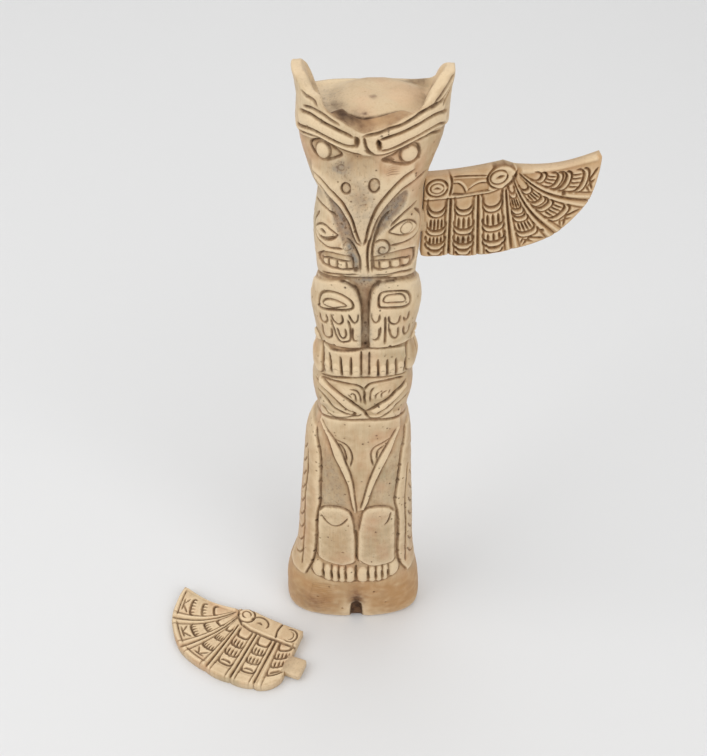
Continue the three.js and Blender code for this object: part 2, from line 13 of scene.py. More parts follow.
import bpy
import numpy as np
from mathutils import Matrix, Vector


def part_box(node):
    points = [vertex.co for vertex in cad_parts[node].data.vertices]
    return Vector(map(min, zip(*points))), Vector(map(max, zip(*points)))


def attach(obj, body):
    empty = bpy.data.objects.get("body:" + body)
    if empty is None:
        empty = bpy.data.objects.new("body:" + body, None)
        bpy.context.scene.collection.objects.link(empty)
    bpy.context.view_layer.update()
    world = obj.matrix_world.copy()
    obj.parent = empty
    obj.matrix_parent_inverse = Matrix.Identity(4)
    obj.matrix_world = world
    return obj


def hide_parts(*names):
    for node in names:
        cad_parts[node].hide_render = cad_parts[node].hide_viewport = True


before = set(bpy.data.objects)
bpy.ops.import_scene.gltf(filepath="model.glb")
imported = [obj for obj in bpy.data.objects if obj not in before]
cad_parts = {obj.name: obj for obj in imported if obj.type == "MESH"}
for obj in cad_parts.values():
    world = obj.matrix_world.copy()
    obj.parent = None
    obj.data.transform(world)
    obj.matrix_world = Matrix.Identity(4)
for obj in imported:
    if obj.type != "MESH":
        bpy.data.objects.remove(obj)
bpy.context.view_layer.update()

MM = 0.001
BODY = "root"
CHORDS = 6
OVAL_POINTS = 33
FAR = 1e9
TINY = 1e-12
HOLLOW_DEPTH = 0.30
Point = tuple[float, float]
Points = Sequence[Point]
Triple = tuple[float, float, float]
Index = tuple[slice, slice]
Maps = dict[str, np.ndarray]
Socket = bpy.types.NodeSocket
log = logging.getLogger("totem_pole")


# ---- numbers on arrays ----


def ease(low: float, high: float, value: np.ndarray) -> np.ndarray:
    """Step from 0 at low to 1 at high with flat ends, the cubic 3t^2 - 2t^3.

    Args:
        low: Value at which the step starts.
        high: Value at which it ends.
        value: Where to work it out.

    Returns:
        The step, as an array like value.
    """
    t = np.clip((np.asarray(value, float) - low) / (high - low), 0.0, 1.0)
    return t * t * (3.0 - 2.0 * t)


def monotone(knots: Points, value: np.ndarray) -> np.ndarray:
    """Cubic through the knots that never overshoots, with harmonic-mean slopes at each knot.

    Args:
        knots: Pairs of place and height, in rising order of place.
        value: Places to work it out at.

    Returns:
        Heights at those places.
    """
    x, y = np.asarray(knots, float).T
    step = np.diff(x)
    slope = np.diff(y) / step
    product = slope[:-1] * slope[1:]
    total = np.where(np.abs(slope[:-1] + slope[1:]) < 1e-9, 1.0, slope[:-1] + slope[1:])
    tangent = np.concatenate([slope[:1], np.where(product > 0, 2 * product / total, 0.0), slope[-1:]])
    place = np.clip(value, x[0], x[-1])
    i = np.clip(np.searchsorted(x, place, side="right") - 1, 0, len(x) - 2)
    t = (place - x[i]) / step[i]
    rest = 1.0 - t
    return (
        y[i] * (1 + 2 * t) * rest**2
        + tangent[i] * step[i] * t * rest**2
        + y[i + 1] * t**2 * (3 - 2 * t)
        - tangent[i + 1] * step[i] * t**2 * rest
    )


def flowing(points: Points, closed: bool = False) -> np.ndarray:
    """Catmull-Rom curve through the points, as a few short chords from each to the next.

    Args:
        points: The points that the curve passes through.
        closed: Whether the last point joins the first one.

    Returns:
        An array of points along the curve.
    """
    p = np.asarray(points, float)
    if closed:
        ends = np.vstack([p[-1:], p, p[:2]])
    elif len(p) < 3:
        return p
    else:
        ends = np.vstack([2 * p[:1] - p[1:2], p, 2 * p[-1:] - p[-2:-1]])
    a, b, c, d = (ends[k : len(ends) - 3 + k, None] for k in range(4))
    t = np.linspace(0.0, 1.0, CHORDS, endpoint=False)[None, :, None]
    curve = 0.5 * (2 * b + (c - a) * t + (2 * a - 5 * b + 4 * c - d) * t**2 + (3 * b - a - 3 * c + d) * t**3)
    return np.vstack([curve.reshape(-1, 2), ends[-2:-1]])


def oval(centre: Point, radii: Point, turn: float = 0.0, start: float = 0.0,
         stop: float = 360.0) -> np.ndarray:
    """Points on an ellipse, from the angle start to the angle stop in degrees.

    Args:
        centre: Middle of the ellipse.
        radii: Half axes before turning.
        turn: Turn of the ellipse in degrees.
        start: First angle.
        stop: Last angle.

    Returns:
        An array of points along the arc.
    """
    angle = np.radians(np.linspace(start, stop, OVAL_POINTS))
    x, y = radii[0] * np.cos(angle), radii[1] * np.sin(angle)
    c, s = math.cos(math.radians(turn)), math.sin(math.radians(turn))
    return np.stack([centre[0] + c * x - s * y, centre[1] + s * x + c * y], axis=1)


def softened(values: np.ndarray, radius: float) -> np.ndarray:
    """Gaussian blur of a map, one pass down it and one across, each weighted by exp(-d^2 / 2 radius^2).

    Args:
        values: The map.
        radius: Standard deviation in cells.

    Returns:
        The blurred map.
    """
    reach = int(3 * radius) + 1
    bell = np.exp(-0.5 * (np.arange(-reach, reach + 1) / radius) ** 2)
    bell /= bell.sum()
    out = values
    for axis in (0, 1):
        pad = [(reach, reach) if a == axis else (0, 0) for a in (0, 1)]
        wide = np.pad(out, pad, mode="edge")
        size = out.shape[axis]
        out = sum(w * np.take(wide, np.arange(k, k + size), axis=axis) for k, w in enumerate(bell))
    return out


def mottling(rng: np.random.Generator, shape: tuple[int, int], radii: Sequence[float]) -> np.ndarray:
    """Uneven random field: the mean of one blurred white noise for each radius, scaled to unit spread.

    Args:
        rng: Where the noise is drawn from.
        shape: Rows and columns of the field.
        radii: Blurs in cells. A wide one is drawn on a coarser grid and spread out.

    Returns:
        The field.
    """
    layers = []
    for radius in radii:
        coarse = max(1, int(radius / 2))
        small = rng.standard_normal((shape[0] // coarse + 2, shape[1] // coarse + 2))
        soft = softened(small, radius / coarse)
        rows = np.linspace(0, small.shape[0] - 1.001, shape[0])
        cols = np.linspace(0, small.shape[1] - 1.001, shape[1])
        layers.append(sampled(soft / soft.std(), *np.meshgrid(rows, cols, indexing="ij")))
    return np.mean(layers, axis=0)


def sampled(values: np.ndarray, row: np.ndarray, col: np.ndarray) -> np.ndarray:
    """Bilinear reading of a map between its cells.

    Args:
        values: The map.
        row: Fractional rows to read at.
        col: Fractional columns to read at.

    Returns:
        The values there, held at the map's edge outside it.
    """
    r0 = np.clip(np.floor(row).astype(int), 0, values.shape[0] - 2)
    c0 = np.clip(np.floor(col).astype(int), 0, values.shape[1] - 2)
    fr, fc = np.clip(row - r0, 0, 1), np.clip(col - c0, 0, 1)
    low = values[r0, c0] * (1 - fc) + values[r0, c0 + 1] * fc
    high = values[r0 + 1, c0] * (1 - fc) + values[r0 + 1, c0 + 1] * fc
    return low * (1 - fr) + high * fr


# ---- the carver's tools ----


@dataclass
class Relief:
    """Maps of a carved face on a regular grid: its height, its dirt and painted shadow, and its tints.

    Attributes:
        across: Places of the columns in millimetres.
        up: Places of the rows in millimetres.
        broad: How much broader than asked every cut is made.
        deep: How much deeper it is made.
        level: Height of the raised and sunk areas, and cuts is the depth cut below them.
    """

    across: np.ndarray
    up: np.ndarray
    broad: float = 1.0
    deep: float = 1.0
    level: np.ndarray = field(init=False)
    cuts: np.ndarray = field(init=False)
    stain_and_shadow: np.ndarray = field(init=False)
    grey: np.ndarray = field(init=False)
    warm: np.ndarray = field(init=False)
    rust: np.ndarray = field(init=False)

    def __post_init__(self) -> None:
        """Starts every map empty."""
        shape = (len(self.up), len(self.across))
        maps = (np.zeros(shape) for _ in range(6))
        self.level, self.cuts, self.stain_and_shadow, self.grey, self.warm, self.rust = maps

    def window(self, low: Point, high: Point) -> tuple[Index, np.ndarray, np.ndarray]:
        """The part of the maps inside a box.

        Args:
            low: Lowest place across and up.
            high: Highest place across and up.

        Returns:
            The index of that part, and the place across and up of each of its cells.
        """
        cols = slice(*np.searchsorted(self.across, (low[0], high[0])))
        rows = slice(*np.searchsorted(self.up, (low[1], high[1])))
        x, y = np.meshgrid(self.across[cols], self.up[rows])
        return (rows, cols), x, y

    def away(self, line: np.ndarray, margin: float) -> tuple[Index, np.ndarray, np.ndarray, float]:
        """Distance of the cells near a line from it, and how far along the line the nearest point is.

        Args:
            line: Points of the line.
            margin: How far from the line the distance matters.

        Returns:
            The index of the cells, their distance, their run along the line, and the line's length.
        """
        index, x, y = self.window(tuple(line.min(0) - margin), tuple(line.max(0) + margin))
        best, run, walked = np.full(x.shape, FAR), np.zeros(x.shape), 0.0
        for a, b in zip(line[:-1], line[1:]):
            d = b - a
            length = float(np.hypot(*d))
            t = np.clip(((x - a[0]) * d[0] + (y - a[1]) * d[1]) / (length**2 + TINY), 0, 1)
            gap = np.hypot(x - a[0] - t * d[0], y - a[1] - t * d[1])
            closer = gap < best
            best = np.where(closer, gap, best)
            run = np.where(closer, walked + t * length, run)
            walked += length
        return index, best, run, walked

    def cut(self, points: Points, width: float = 0.9, depth: float = 0.55, stain_and_shadow: float = 0.85,
            closed: bool = False, corners: bool = False, taper: float = 1.0) -> None:
        """Cuts a rounded V along a line and rubs dirt into it, both by 1 - ease of distance over half width.

        Args:
            points: The line.
            width: Full width at the surface.
            depth: Depth in the middle.
            stain_and_shadow: Darkness of the dirt in the middle, up to 1.
            closed: Whether the line joins up.
            corners: Whether the line keeps its corners.
            taper: Length over which the cut runs out at each end, none if 0.
        """
        line = np.asarray(points, float) if corners else flowing(points, closed)
        if corners and closed:
            line = np.vstack([line, line[:1]])
        index, gap, run, total = self.away(line, width)
        fade = np.ones(gap.shape)
        if taper and not closed:
            fade = np.clip(np.minimum(run, total - run) / taper, 0.0, 1.0) * 0.7 + 0.3
        half = self.broad * width / 2 * (0.6 + 0.4 * fade)
        shape = 1.0 - ease(0.0, 1.0, gap / half)
        self.cuts[index] = np.maximum(self.cuts[index], self.deep * depth * fade * shape)
        self.stain_and_shadow[index] = np.maximum(self.stain_and_shadow[index], stain_and_shadow * fade * (1.0 - ease(0.05, 0.8, gap / half)))

    def inward(self, points: Points, margin: float, corners: bool) -> tuple[Index, np.ndarray]:
        """Distance inside a closed outline. A ray right from an inner cell crosses an odd count of edges.

        Args:
            points: The outline.
            margin: How far outside it the distance matters.
            corners: Whether the outline keeps its corners.

        Returns:
            The index of the cells, and their distance, negative outside.
        """
        line = np.asarray(points, float) if corners else flowing(points, True)
        if corners:
            line = np.vstack([line, line[:1]])
        index, gap, _, _ = self.away(line, margin)
        _, x, y = self.window(tuple(line.min(0) - margin), tuple(line.max(0) + margin))
        odd = np.zeros(x.shape, bool)
        for a, b in zip(line[:-1], line[1:]):
            if a[1] != b[1]:
                crossing = (b[0] - a[0]) * (y - a[1]) / (b[1] - a[1]) + a[0]
                odd ^= ((a[1] > y) != (b[1] > y)) & (x < crossing)
        return index, np.where(odd, gap, -gap)

    def shift(self, points: Points, height: float, edge: float = 0.9, grey: float = 0.0,
              warm: float = 0.0, stain_and_shadow: float = 0.0, corners: bool = False) -> None:
        """Raises or sinks a closed area, by height times an ease across its flank, and may tint it.

        Args:
            points: Outline of the area.
            height: How far it is raised, or sunk if negative.
            edge: Width of the flank.
            grey: Strength of a grey tint.
            warm: Strength of a warm tint.
            stain_and_shadow: Darkness of dirt inside it, and of the painted shadow in the plinth's notch.
            corners: Whether the outline keeps its corners.
        """
        index, inside = self.inward(points, edge + 1.5, corners)
        self.level[index] += height * ease(-edge / 2, edge / 2, inside)
        soft = ease(-1.5, 1.5, inside)
        self.grey[index] = np.maximum(self.grey[index], grey * soft)
        self.warm[index] = np.maximum(self.warm[index], warm * soft)
        self.stain_and_shadow[index] = np.maximum(self.stain_and_shadow[index], stain_and_shadow * ease(-0.4, 0.4, inside))

    def swell(self, centre: Point, radii: Point, height: float, turn: float = 0.0) -> None:
        """Adds a low dome over an oval: height times (1 - r^2)^0.7, with r = 1 at the oval's edge.

        Args:
            centre: Middle of the dome.
            radii: Half axes of the oval before turning.
            height: Height of the dome.
            turn: Turn of the oval in degrees.
        """
        reach = max(radii)
        index, x, y = self.window((centre[0] - reach, centre[1] - reach),
                                  (centre[0] + reach, centre[1] + reach))
        c, s = math.cos(math.radians(turn)), math.sin(math.radians(turn))
        dx, dy = x - centre[0], y - centre[1]
        r = ((c * dx + s * dy) / radii[0]) ** 2 + ((c * dy - s * dx) / radii[1]) ** 2
        self.level[index] += height * np.clip(1.0 - r, 0.0, 1.0) ** 0.7

    def ridge(self, points: Points, width: float = 1.2, height: float = 0.35) -> None:
        """Raises a round ridge, height times 1 - (gap / half width)^2, along a line.

        Args:
            points: The line.
            width: Full width of the ridge.
            height: Height of its crest.
        """
        line = flowing(points)
        index, gap, run, total = self.away(line, width)
        fade = ease(0.0, 1.0, np.minimum(run, total - run) / 1.2)
        self.level[index] += height * fade * np.clip(1.0 - (2 * gap / width) ** 2, 0.0, 1.0)

    def between(self, first: Points, second: Points, height: float = 0.3) -> None:
        """Rounds up the strip between two lines, by a ridge along their middle as wide as their mean gap.

        Args:
            first: One line.
            second: The other, which runs the same way.
            height: Height of the ridge.
        """
        share = np.linspace(0, 1, 12)
        a, b = (np.stack([np.interp(share, np.linspace(0, 1, len(line)), part) for part in line.T], axis=1)
                for line in (flowing(first), flowing(second)))
        self.ridge((a + b) / 2, float(np.hypot(*(a - b).T).mean()), height)

    def pit(self, centre: Point, radius: float, depth: float = 0.5, stain_and_shadow: float = 1.0) -> None:
        """Drills a small dark hole, with a flat floor out to half its radius.

        Args:
            centre: Middle of the hole.
            radius: Its radius.
            depth: Its depth.
            stain_and_shadow: Darkness of the dirt in it.
        """
        index, x, y = self.window((centre[0] - 2, centre[1] - 2), (centre[0] + 2, centre[1] + 2))
        hole = 1.0 - ease(0.5, 1.1, np.hypot(x - centre[0], y - centre[1]) / radius)
        self.cuts[index] = np.maximum(self.cuts[index], depth * hole)
        self.stain_and_shadow[index] = np.maximum(self.stain_and_shadow[index], stain_and_shadow * hole)

    def tint(self, tone: str, centre: Point, radii: Point, strength: float) -> None:
        """Adds a soft patch of a tone, the bell exp(-r^2) over an oval, to one of the tint maps.

        Args:
            tone: Name of the map.
            centre: Middle of the patch.
            radii: Half axes of the oval.
            strength: Strength in the middle.
        """
        middle, reach = np.array(centre), 2 * np.array(radii)
        index, x, y = self.window(tuple(middle - reach), tuple(middle + reach))
        bell = np.exp(-((x - centre[0]) / radii[0]) ** 2 - ((y - centre[1]) / radii[1]) ** 2)
        chosen = getattr(self, tone)
        chosen[index] = np.maximum(chosen[index], strength * bell)

    def height(self, pillow: float = 0.6, reach: float = 3.2) -> np.ndarray:
        """Height of the finished face: its level, less its cuts, less pillow times their blur."""
        return self.level - self.cuts - pillow * softened(self.cuts, reach)


# ---- the pole's carving, tier by tier ----


def ring(face: Relief, height: float, width: float, depth: float, stain_and_shadow: float) -> None:
    """Cuts a ring that sags by 4.5 (s / 20)^2 towards the sides and grows faint round the back.

    Args:
        face: The face that is carved.
        height: Height of the ring in front.
        width: Its width.
        depth: Its depth.
        stain_and_shadow: Darkness of the dirt in it.
    """
    s, z = np.meshgrid(face.across, face.up)
    fade = 0.25 + 0.75 * (1.0 - ease(15.0, 21.0, np.abs(s)))
    gap = np.abs(z - height + 4.5 * np.minimum(1.3, (s / 20.0) ** 2)) / (width / 2)
    face.cuts = np.maximum(face.cuts, depth * fade * (1.0 - ease(0.0, 1.0, gap)))
    face.stain_and_shadow = np.maximum(face.stain_and_shadow, stain_and_shadow * fade * (1.0 - ease(0.1, 0.9, gap)))


@dataclass
class Brow:
    """Slanting brow bars, one above the other, that rise to the ears from a dip over the beak."""

    depth: float = 0.75
    width: float = 0.95

    def carve(self, face: Relief) -> None:
        """Raises the brow over the eyes and cuts its bars and stepped ends.

        Args:
            face: The carved face.
        """
        plate = [(-26, 201), (-19, 199.3), (-11.4, 200.6), (-6.1, 199), (-3.5, 197.6), (0, 197), (3.5, 196.8),
                 (6.1, 196.9), (10.4, 198.9), (15.2, 201), (20, 202.3), (28, 200), (30, 217), (-28, 217)]
        face.shift(plate, 0.8, 1.2, corners=True)
        bars = [
            [(-18, 206.2), (-14.6, 206.9), (-12.8, 206.8), (-10.3, 205.9), (-8, 205), (-5.5, 203.9),
             (-3.5, 203), (-1.9, 202)],
            [(-20, 201.2), (-15, 202.6), (-12, 202.8), (-7.5, 201.3), (-5.1, 200.3), (-3.4, 199.8),
             (-1.2, 199.7)],
            [(-19.5, 199.8), (-15, 200.9), (-11.4, 201), (-8.4, 200.1), (-5.4, 198.8), (-2.1, 197.6),
             (0, 197.1)],
            [(0.3, 202.4), (4.1, 203.4), (7, 204.5), (9.9, 205.4), (12.9, 206.8), (15.4, 208.1), (19, 209.3),
             (22, 209.6)],
            [(4.5, 201.5), (7.6, 202.6), (10.5, 203.5), (13.5, 204.7), (16.7, 206), (20, 206.5), (24, 205.4)],
            [(4.7, 198.2), (7.7, 199), (10.6, 200.3), (13.6, 201.5), (16.9, 202.7), (20.8, 203.1),
             (24.5, 201.5)],
            [(0.6, 202.3), (0.9, 200.5), (1.3, 199.2), (2.3, 197.8), (3.7, 197.1)],
            [(0.9, 198.5), (2.3, 197.5), (3.7, 197), (5.8, 197.1), (9.2, 198.2), (12.2, 199.3), (15.3, 200.3),
             (18.8, 200.9), (23, 200)],
        ]
        for bar in bars:
            face.cut(bar, self.width, self.depth)
        for upper, lower in ((0, 1), (1, 2), (3, 4), (4, 5), (5, 7)):
            face.between(bars[upper], bars[lower], 0.3)
        for end in ([(-1.7, 202.2), (-1.2, 201.5), (-1.2, 199.6)], [(4.1, 201.5), (4.5, 200), (4.7, 198.3)]):
            face.cut(end, 1.5, 1.1, 1.6)
        ears = [
            [(-16.4, 212.2), (-15, 211.6), (-13.7, 211.4), (-12.4, 211.0), (-11.4, 209.8)],
            [(-16, 208.2), (-13.5, 208.7), (-11.8, 208.5), (-9.6, 207.8), (-7.6, 206.6), (-5.6, 205.6)],
            [(18.4, 209.6), (20.3, 211), (22.3, 213), (24, 214.6), (25.6, 214.9)],
            [(17.6, 208.4), (20.4, 209.6), (23, 211.4), (25.4, 213.4)],
            [(21.5, 208.2), (23.5, 209.6), (25.5, 211.4)],
        ]
        for line in ears:
            face.cut(line, 0.95, 0.6, 0.8)
        face.between(ears[2], ears[3], 0.35)
        face.cut([(-10.4, 206.8), (-10, 205.9), (-10.6, 205.2)], 0.4, 0.4, 0.8)


@dataclass
class UpperEyes:
    """Almond eyes under the brow, each with a swelling iris and a dark crescent beside it."""

    width: float = 0.85
    depth: float = 0.6

    def carve(self, face: Relief) -> None:
        """Sinks each eye's lids, raises its iris and scratches the skin below it.

        Args:
            face: The carved face.
        """
        left = [(-14.3, 198), (-13.4, 199.4), (-11.2, 200.3), (-9, 200), (-6.9, 198.5), (-5.1, 196.8),
                (-6.3, 195.9), (-7.8, 195.1), (-9.7, 194.5), (-11.4, 194.9), (-13.2, 196)]
        right = [(5.5, 195.2), (7.8, 196.4), (10.7, 198.1), (13.2, 199.1), (14.8, 198.8), (15.5, 197.2),
                 (15.6, 195.4), (14.5, 194.1), (12.6, 193.3), (10.4, 193.5), (7.9, 194.3)]
        for almond in (left, right):
            face.shift(almond, -0.25, 0.8)
            face.cut(almond, self.width, self.depth, 0.9, closed=True)
        face.swell((-10.4, 197.2), (2.4, 3.0), 0.75)
        face.swell((12.6, 196.3), (2.7, 2.8), 0.75)
        face.cut(oval((-10.4, 197.2), (2.1, 2.6)), 0.6, 0.35, 0.55, corners=True)
        face.cut(oval((-10.4, 197.2), (2.2, 2.7), 0, -75, 60), 0.8, 0.5, 0.9, corners=True)
        face.cut(oval((12.7, 196.4), (2.5, 2.6)), 0.6, 0.35, 0.6, corners=True)
        face.cut(oval((12.7, 196.4), (2.6, 2.7), 0, 120, 245), 0.9, 0.5, 0.9, corners=True)
        face.shift([(5.6, 195.1), (7.8, 195.8), (8.3, 194.8), (7.6, 194.4)], -0.35, 0.5)
        face.tint("stain_and_shadow", (6.9, 195.1), (1.1, 0.5), 0.9)
        for scratch in range(5):
            low = 190.6 + 0.62 * scratch
            face.cut([(6.2 + 0.2 * scratch, low), (8.2, low + 0.4), (10.2, low + 0.3)], 0.35, 0.14, 0.35)
        face.swell((0.5, 192), (4.6, 4.2), 0.35)


@dataclass
class Beak:
    """The big beak that narrows to a point between two lips, with grey hollows beside it."""

    rise: float = 1.1
    hollow: float = 0.8

    def carve(self, face: Relief) -> None:
        """Raises the beak, sinks the hollow cheeks, and cuts the lips and nostrils.

        Args:
            face: The carved face.
        """
        left = [(-14.3, 189.6), (-11, 188.3), (-9.6, 187), (-7, 184.5), (-4.9, 181.9), (-4, 180.1),
                (-3, 177.9), (-2.4, 176.2), (-1.7, 172.8), (-1, 170), (-0.5, 168.5)]
        right = [(14.4, 191), (11.5, 189.6), (10, 188.4), (7.7, 185.9), (5.7, 183.2), (4, 180.4),
                 (2.8, 177.4), (1.5, 173.4), (0.7, 169.6), (0.1, 167.9)]
        outline = [(-14.3, 189.6), *left[1:], *right[::-1], (15, 197), (-14.5, 197)]
        index, inside = face.inward(outline, 2.5, True)
        _, _, z = face.window(tuple(np.min(outline, 0) - 2.5), tuple(np.max(outline, 0) + 2.5))
        face.level[index] += self.rise * ease(-0.4, 0.9, inside) * (1.0 - ease(187.0, 195.0, z))
        cheeks = [
            [(-10.6, 183.1), (-6.6, 180.6), (-5, 178), (-3.6, 174.6), (-2.8, 170.6), (-1.9, 166),
             (-1.3, 159.5), (-2.2, 158.8), (-3.7, 161.7), (-4.5, 164.8), (-5.2, 167.9), (-6.4, 170.8),
             (-7.4, 173.9), (-8.7, 178.4)],
            [(12.4, 184.2), (10, 183), (7.4, 181), (5.6, 178.5), (4.2, 174.9), (3.1, 170.2), (5.2, 172.3),
             (7.1, 174), (8.7, 176.2), (10.3, 178), (12.3, 181.1)],
        ]
        for cheek in cheeks:
            face.shift(cheek, -self.hollow, 1.4, grey=0.95)
        face.cut(left, 1.0, 0.7, 0.8)
        face.cut(right, 1.0, 0.7, 0.8)
        lips = [
            [(-14.5, 186.5), (-10.3, 183.4), (-8.7, 181), (-6.4, 179.4), (-4.8, 177.2), (-3.6, 174.6),
             (-2.7, 171.2), (-1.9, 168.8), (-0.8, 167.6)],
            [(19.5, 188.2), (16, 187.3), (13.4, 186.3), (10.8, 185), (8.3, 182.2), (6.2, 179.4), (4.7, 177),
             (3.4, 174), (2.3, 170.4), (1.3, 167), (1, 163), (1.1, 158.2)],
            [(8, 178.4), (5.5, 175.4), (4.2, 172.4), (3.1, 169.4), (2.4, 165), (2.2, 158.5)],
            [(-4.4, 169.6), (-3, 167.5), (-1.9, 165.6), (-1.1, 162.7), (-1.1, 158.6)],
        ]
        for lip in lips:
            face.cut(lip, 0.95, 0.7, 0.9)
        face.between(left, lips[0], 0.55)
        face.between(right, lips[1][1:9], 0.55)
        for centre, radii in (((-3.9, 186.9), (1.15, 1.7)), ((3.4, 187.9), (1.35, 2.1))):
            face.shift(oval(centre, radii), -0.2, 0.6, corners=True)
            face.cut(oval(centre, radii), 0.65, 0.55, 1.0, corners=True)
        face.cut(oval((-5.2, 192.9), (0.85, 0.85)), 0.45, 0.3, 0.9, corners=True)
        face.tint("grey", (-5.4, 192.8), (3.2, 2.6), 0.75)
        face.pit((-1.9, 172.6), 0.5, 0.5)
        face.tint("grey", (0.2, 182), (4.6, 11), 0.42)
        face.tint("warm", (0.2, 180), (5, 11), 0.6)


@dataclass
class SecondFace:
    """The face under the beak: ringed eyes, a curled nostril each side, and a mouth full of teeth."""

    socket: float = 0.35
    mouth: float = 0.55

    def carve(self, face: Relief) -> None:
        """Cuts the eyes, then the nostrils, then the mouth.

        Args:
            face: The carved face.
        """
        self.eyes(face)
        self.nose(face)
        self.teeth(face)

    def eyes(self, face: Relief) -> None:
        """Cuts the ring, brow, lens and iris of each eye.

        Args:
            face: The carved face.
        """
        face.swell((-11.6, 170.0), (5.8, 4.6), self.socket)
        face.swell((13.0, 171.4), (6.2, 4.9), self.socket)
        lenses = [
            [(-15.7, 169.8), (-13.3, 171.9), (-10.8, 172.7), (-8.9, 171.9), (-7, 170.6), (-8.4, 169.9),
             (-10.2, 169), (-12.4, 168.5), (-14.3, 169.1)],
            [(7.4, 171.9), (8.9, 173.4), (10.8, 174.4), (12.9, 174.5), (15, 173.3), (16.4, 171.3),
             (15.1, 170.3), (13, 169.9), (10.8, 170.3), (8.6, 171.2)],
        ]
        for lens in lenses:
            face.shift(lens, 0.3, 0.8)
            face.cut(lens, 0.75, 0.5, 0.9, closed=True)
        face.cut(oval((12.4, 172.2), (1.9, 1.8)), 0.5, 0.35, 0.7, corners=True)
        face.cut([(-12.9, 170.4), (-11.6, 171), (-10.3, 170.7)], 0.8, 0.5, 0.95)
        face.cut([(-12.3, 170.5), (-11.5, 170.6), (-10.7, 170.3)], 1.7, 0.8, 1.8)
        lines = [
            [(-14.2, 175.1), (-17.3, 171.5), (-17.7, 168.4), (-15.1, 166.5), (-12.6, 166.1), (-10.1, 165.6),
             (-7.1, 166), (-5.3, 166.3)],
            [(-19.5, 176.3), (-14.8, 177.7), (-11.3, 177.9), (-8.7, 177.2), (-7.4, 175.8)],
            [(-13.8, 168), (-11.7, 167.9), (-9.6, 168.4), (-7.2, 170)],
            [(16.6, 179.2), (12.9, 177.6), (10.6, 176.2), (8.9, 174.8), (7.8, 173.6)],
            [(15.8, 177.1), (18.7, 174), (20.1, 170.4), (18.4, 168.5), (15.6, 167.7), (13, 167.5),
             (9.9, 167.3), (7.6, 167.2)],
        ]
        for line in lines:
            face.cut(line, 0.9, 0.6, 0.85)

    def nose(self, face: Relief) -> None:
        """Curls the right nostril into a spiral and leaves the left one as a faint ring.

        Args:
            face: The carved face.
        """
        face.swell((5.2, 166.8), (2.6, 2.6), 0.5)
        face.swell((-4.6, 166.4), (2.0, 2.2), 0.45)
        spiral = [(3.3, 168.4), (4.6, 169.3), (6.2, 169.1), (7.2, 167.7), (7.2, 165.8), (6.1, 164.7),
                  (4.6, 164.8), (4.2, 166), (4.8, 167.2), (5.8, 167), (5.9, 166.1)]
        face.cut(spiral, 0.8, 0.6, 1.2)
        face.tint("grey", (5.4, 166.2), (2.6, 2.6), 0.6)
        face.tint("stain_and_shadow", (5.2, 165.6), (1.0, 1.0), 0.7)
        face.cut(oval((-4.4, 167), (1.2, 1.3)), 0.5, 0.3, 0.6, corners=True)

    def teeth(self, face: Relief) -> None:
        """Sinks the mouth and cuts its lips and the gaps between its teeth.

        Args:
            face: The carved face.
        """
        mouths = [
            [(-16, 160.2), (-14.4, 161.7), (-12.4, 163.2), (-9.3, 164), (-6.7, 164), (-4.6, 163.7),
             (-3.2, 162.8), (-3, 159.2), (-7, 158.8), (-10.6, 158.6), (-13.6, 158.4), (-15.6, 158.9)],
            [(2.6, 163.6), (5.3, 164.2), (7.4, 164.5), (10.2, 164.8), (14, 164.3), (16.5, 163), (16.6, 159),
             (15, 158), (11.9, 158.6), (7.3, 159.3), (4, 159), (2.7, 159.6)],
        ]
        for mouth in mouths:
            face.shift(mouth, -self.mouth, 0.8, corners=True)
            face.cut(mouth, 0.8, 0.45, 0.9, closed=True, corners=True)
        face.cut([(-14, 160.4), (-10.4, 161.6), (-7.7, 161.7), (-3.9, 161.7)], 0.8, 0.5, 1.0)
        face.cut([(2.9, 161.9), (4.7, 162), (7.4, 161.9), (10.7, 161.7), (14.9, 160.7)], 0.8, 0.5, 1.0)
        for gap, low, high in ((-13.2, 158.6, 161), (-10.8, 158.6, 161.7), (-7.9, 158.8, 161.8),
                               (-5, 159, 161.8), (4.4, 159.2, 162.1), (7.6, 159.3, 162),
                               (10.9, 158.7, 161.8), (14.6, 158.2, 161)):
            face.cut([(gap - 0.1, high), (gap, low)], 0.7, 0.45, 1.0)
        for middle in (-12, -9.3, -6.4, 6, 9.2, 12.8):
            face.swell((middle, 160.2), (1.4, 1.7), 0.45)
        face.cut([(-14, 154.9), (-9.8, 156.3), (-6.9, 156.9), (-3.3, 157.4), (-1.8, 157.6)], 0.9, 0.6, 0.85)
        face.cut([(2.7, 157.2), (5.6, 157.1), (8.3, 157.1), (11.3, 156.9), (16.1, 155.3)], 0.9, 0.6, 0.85)
        face.pit((-2.4, 159), 0.8, 0.6)


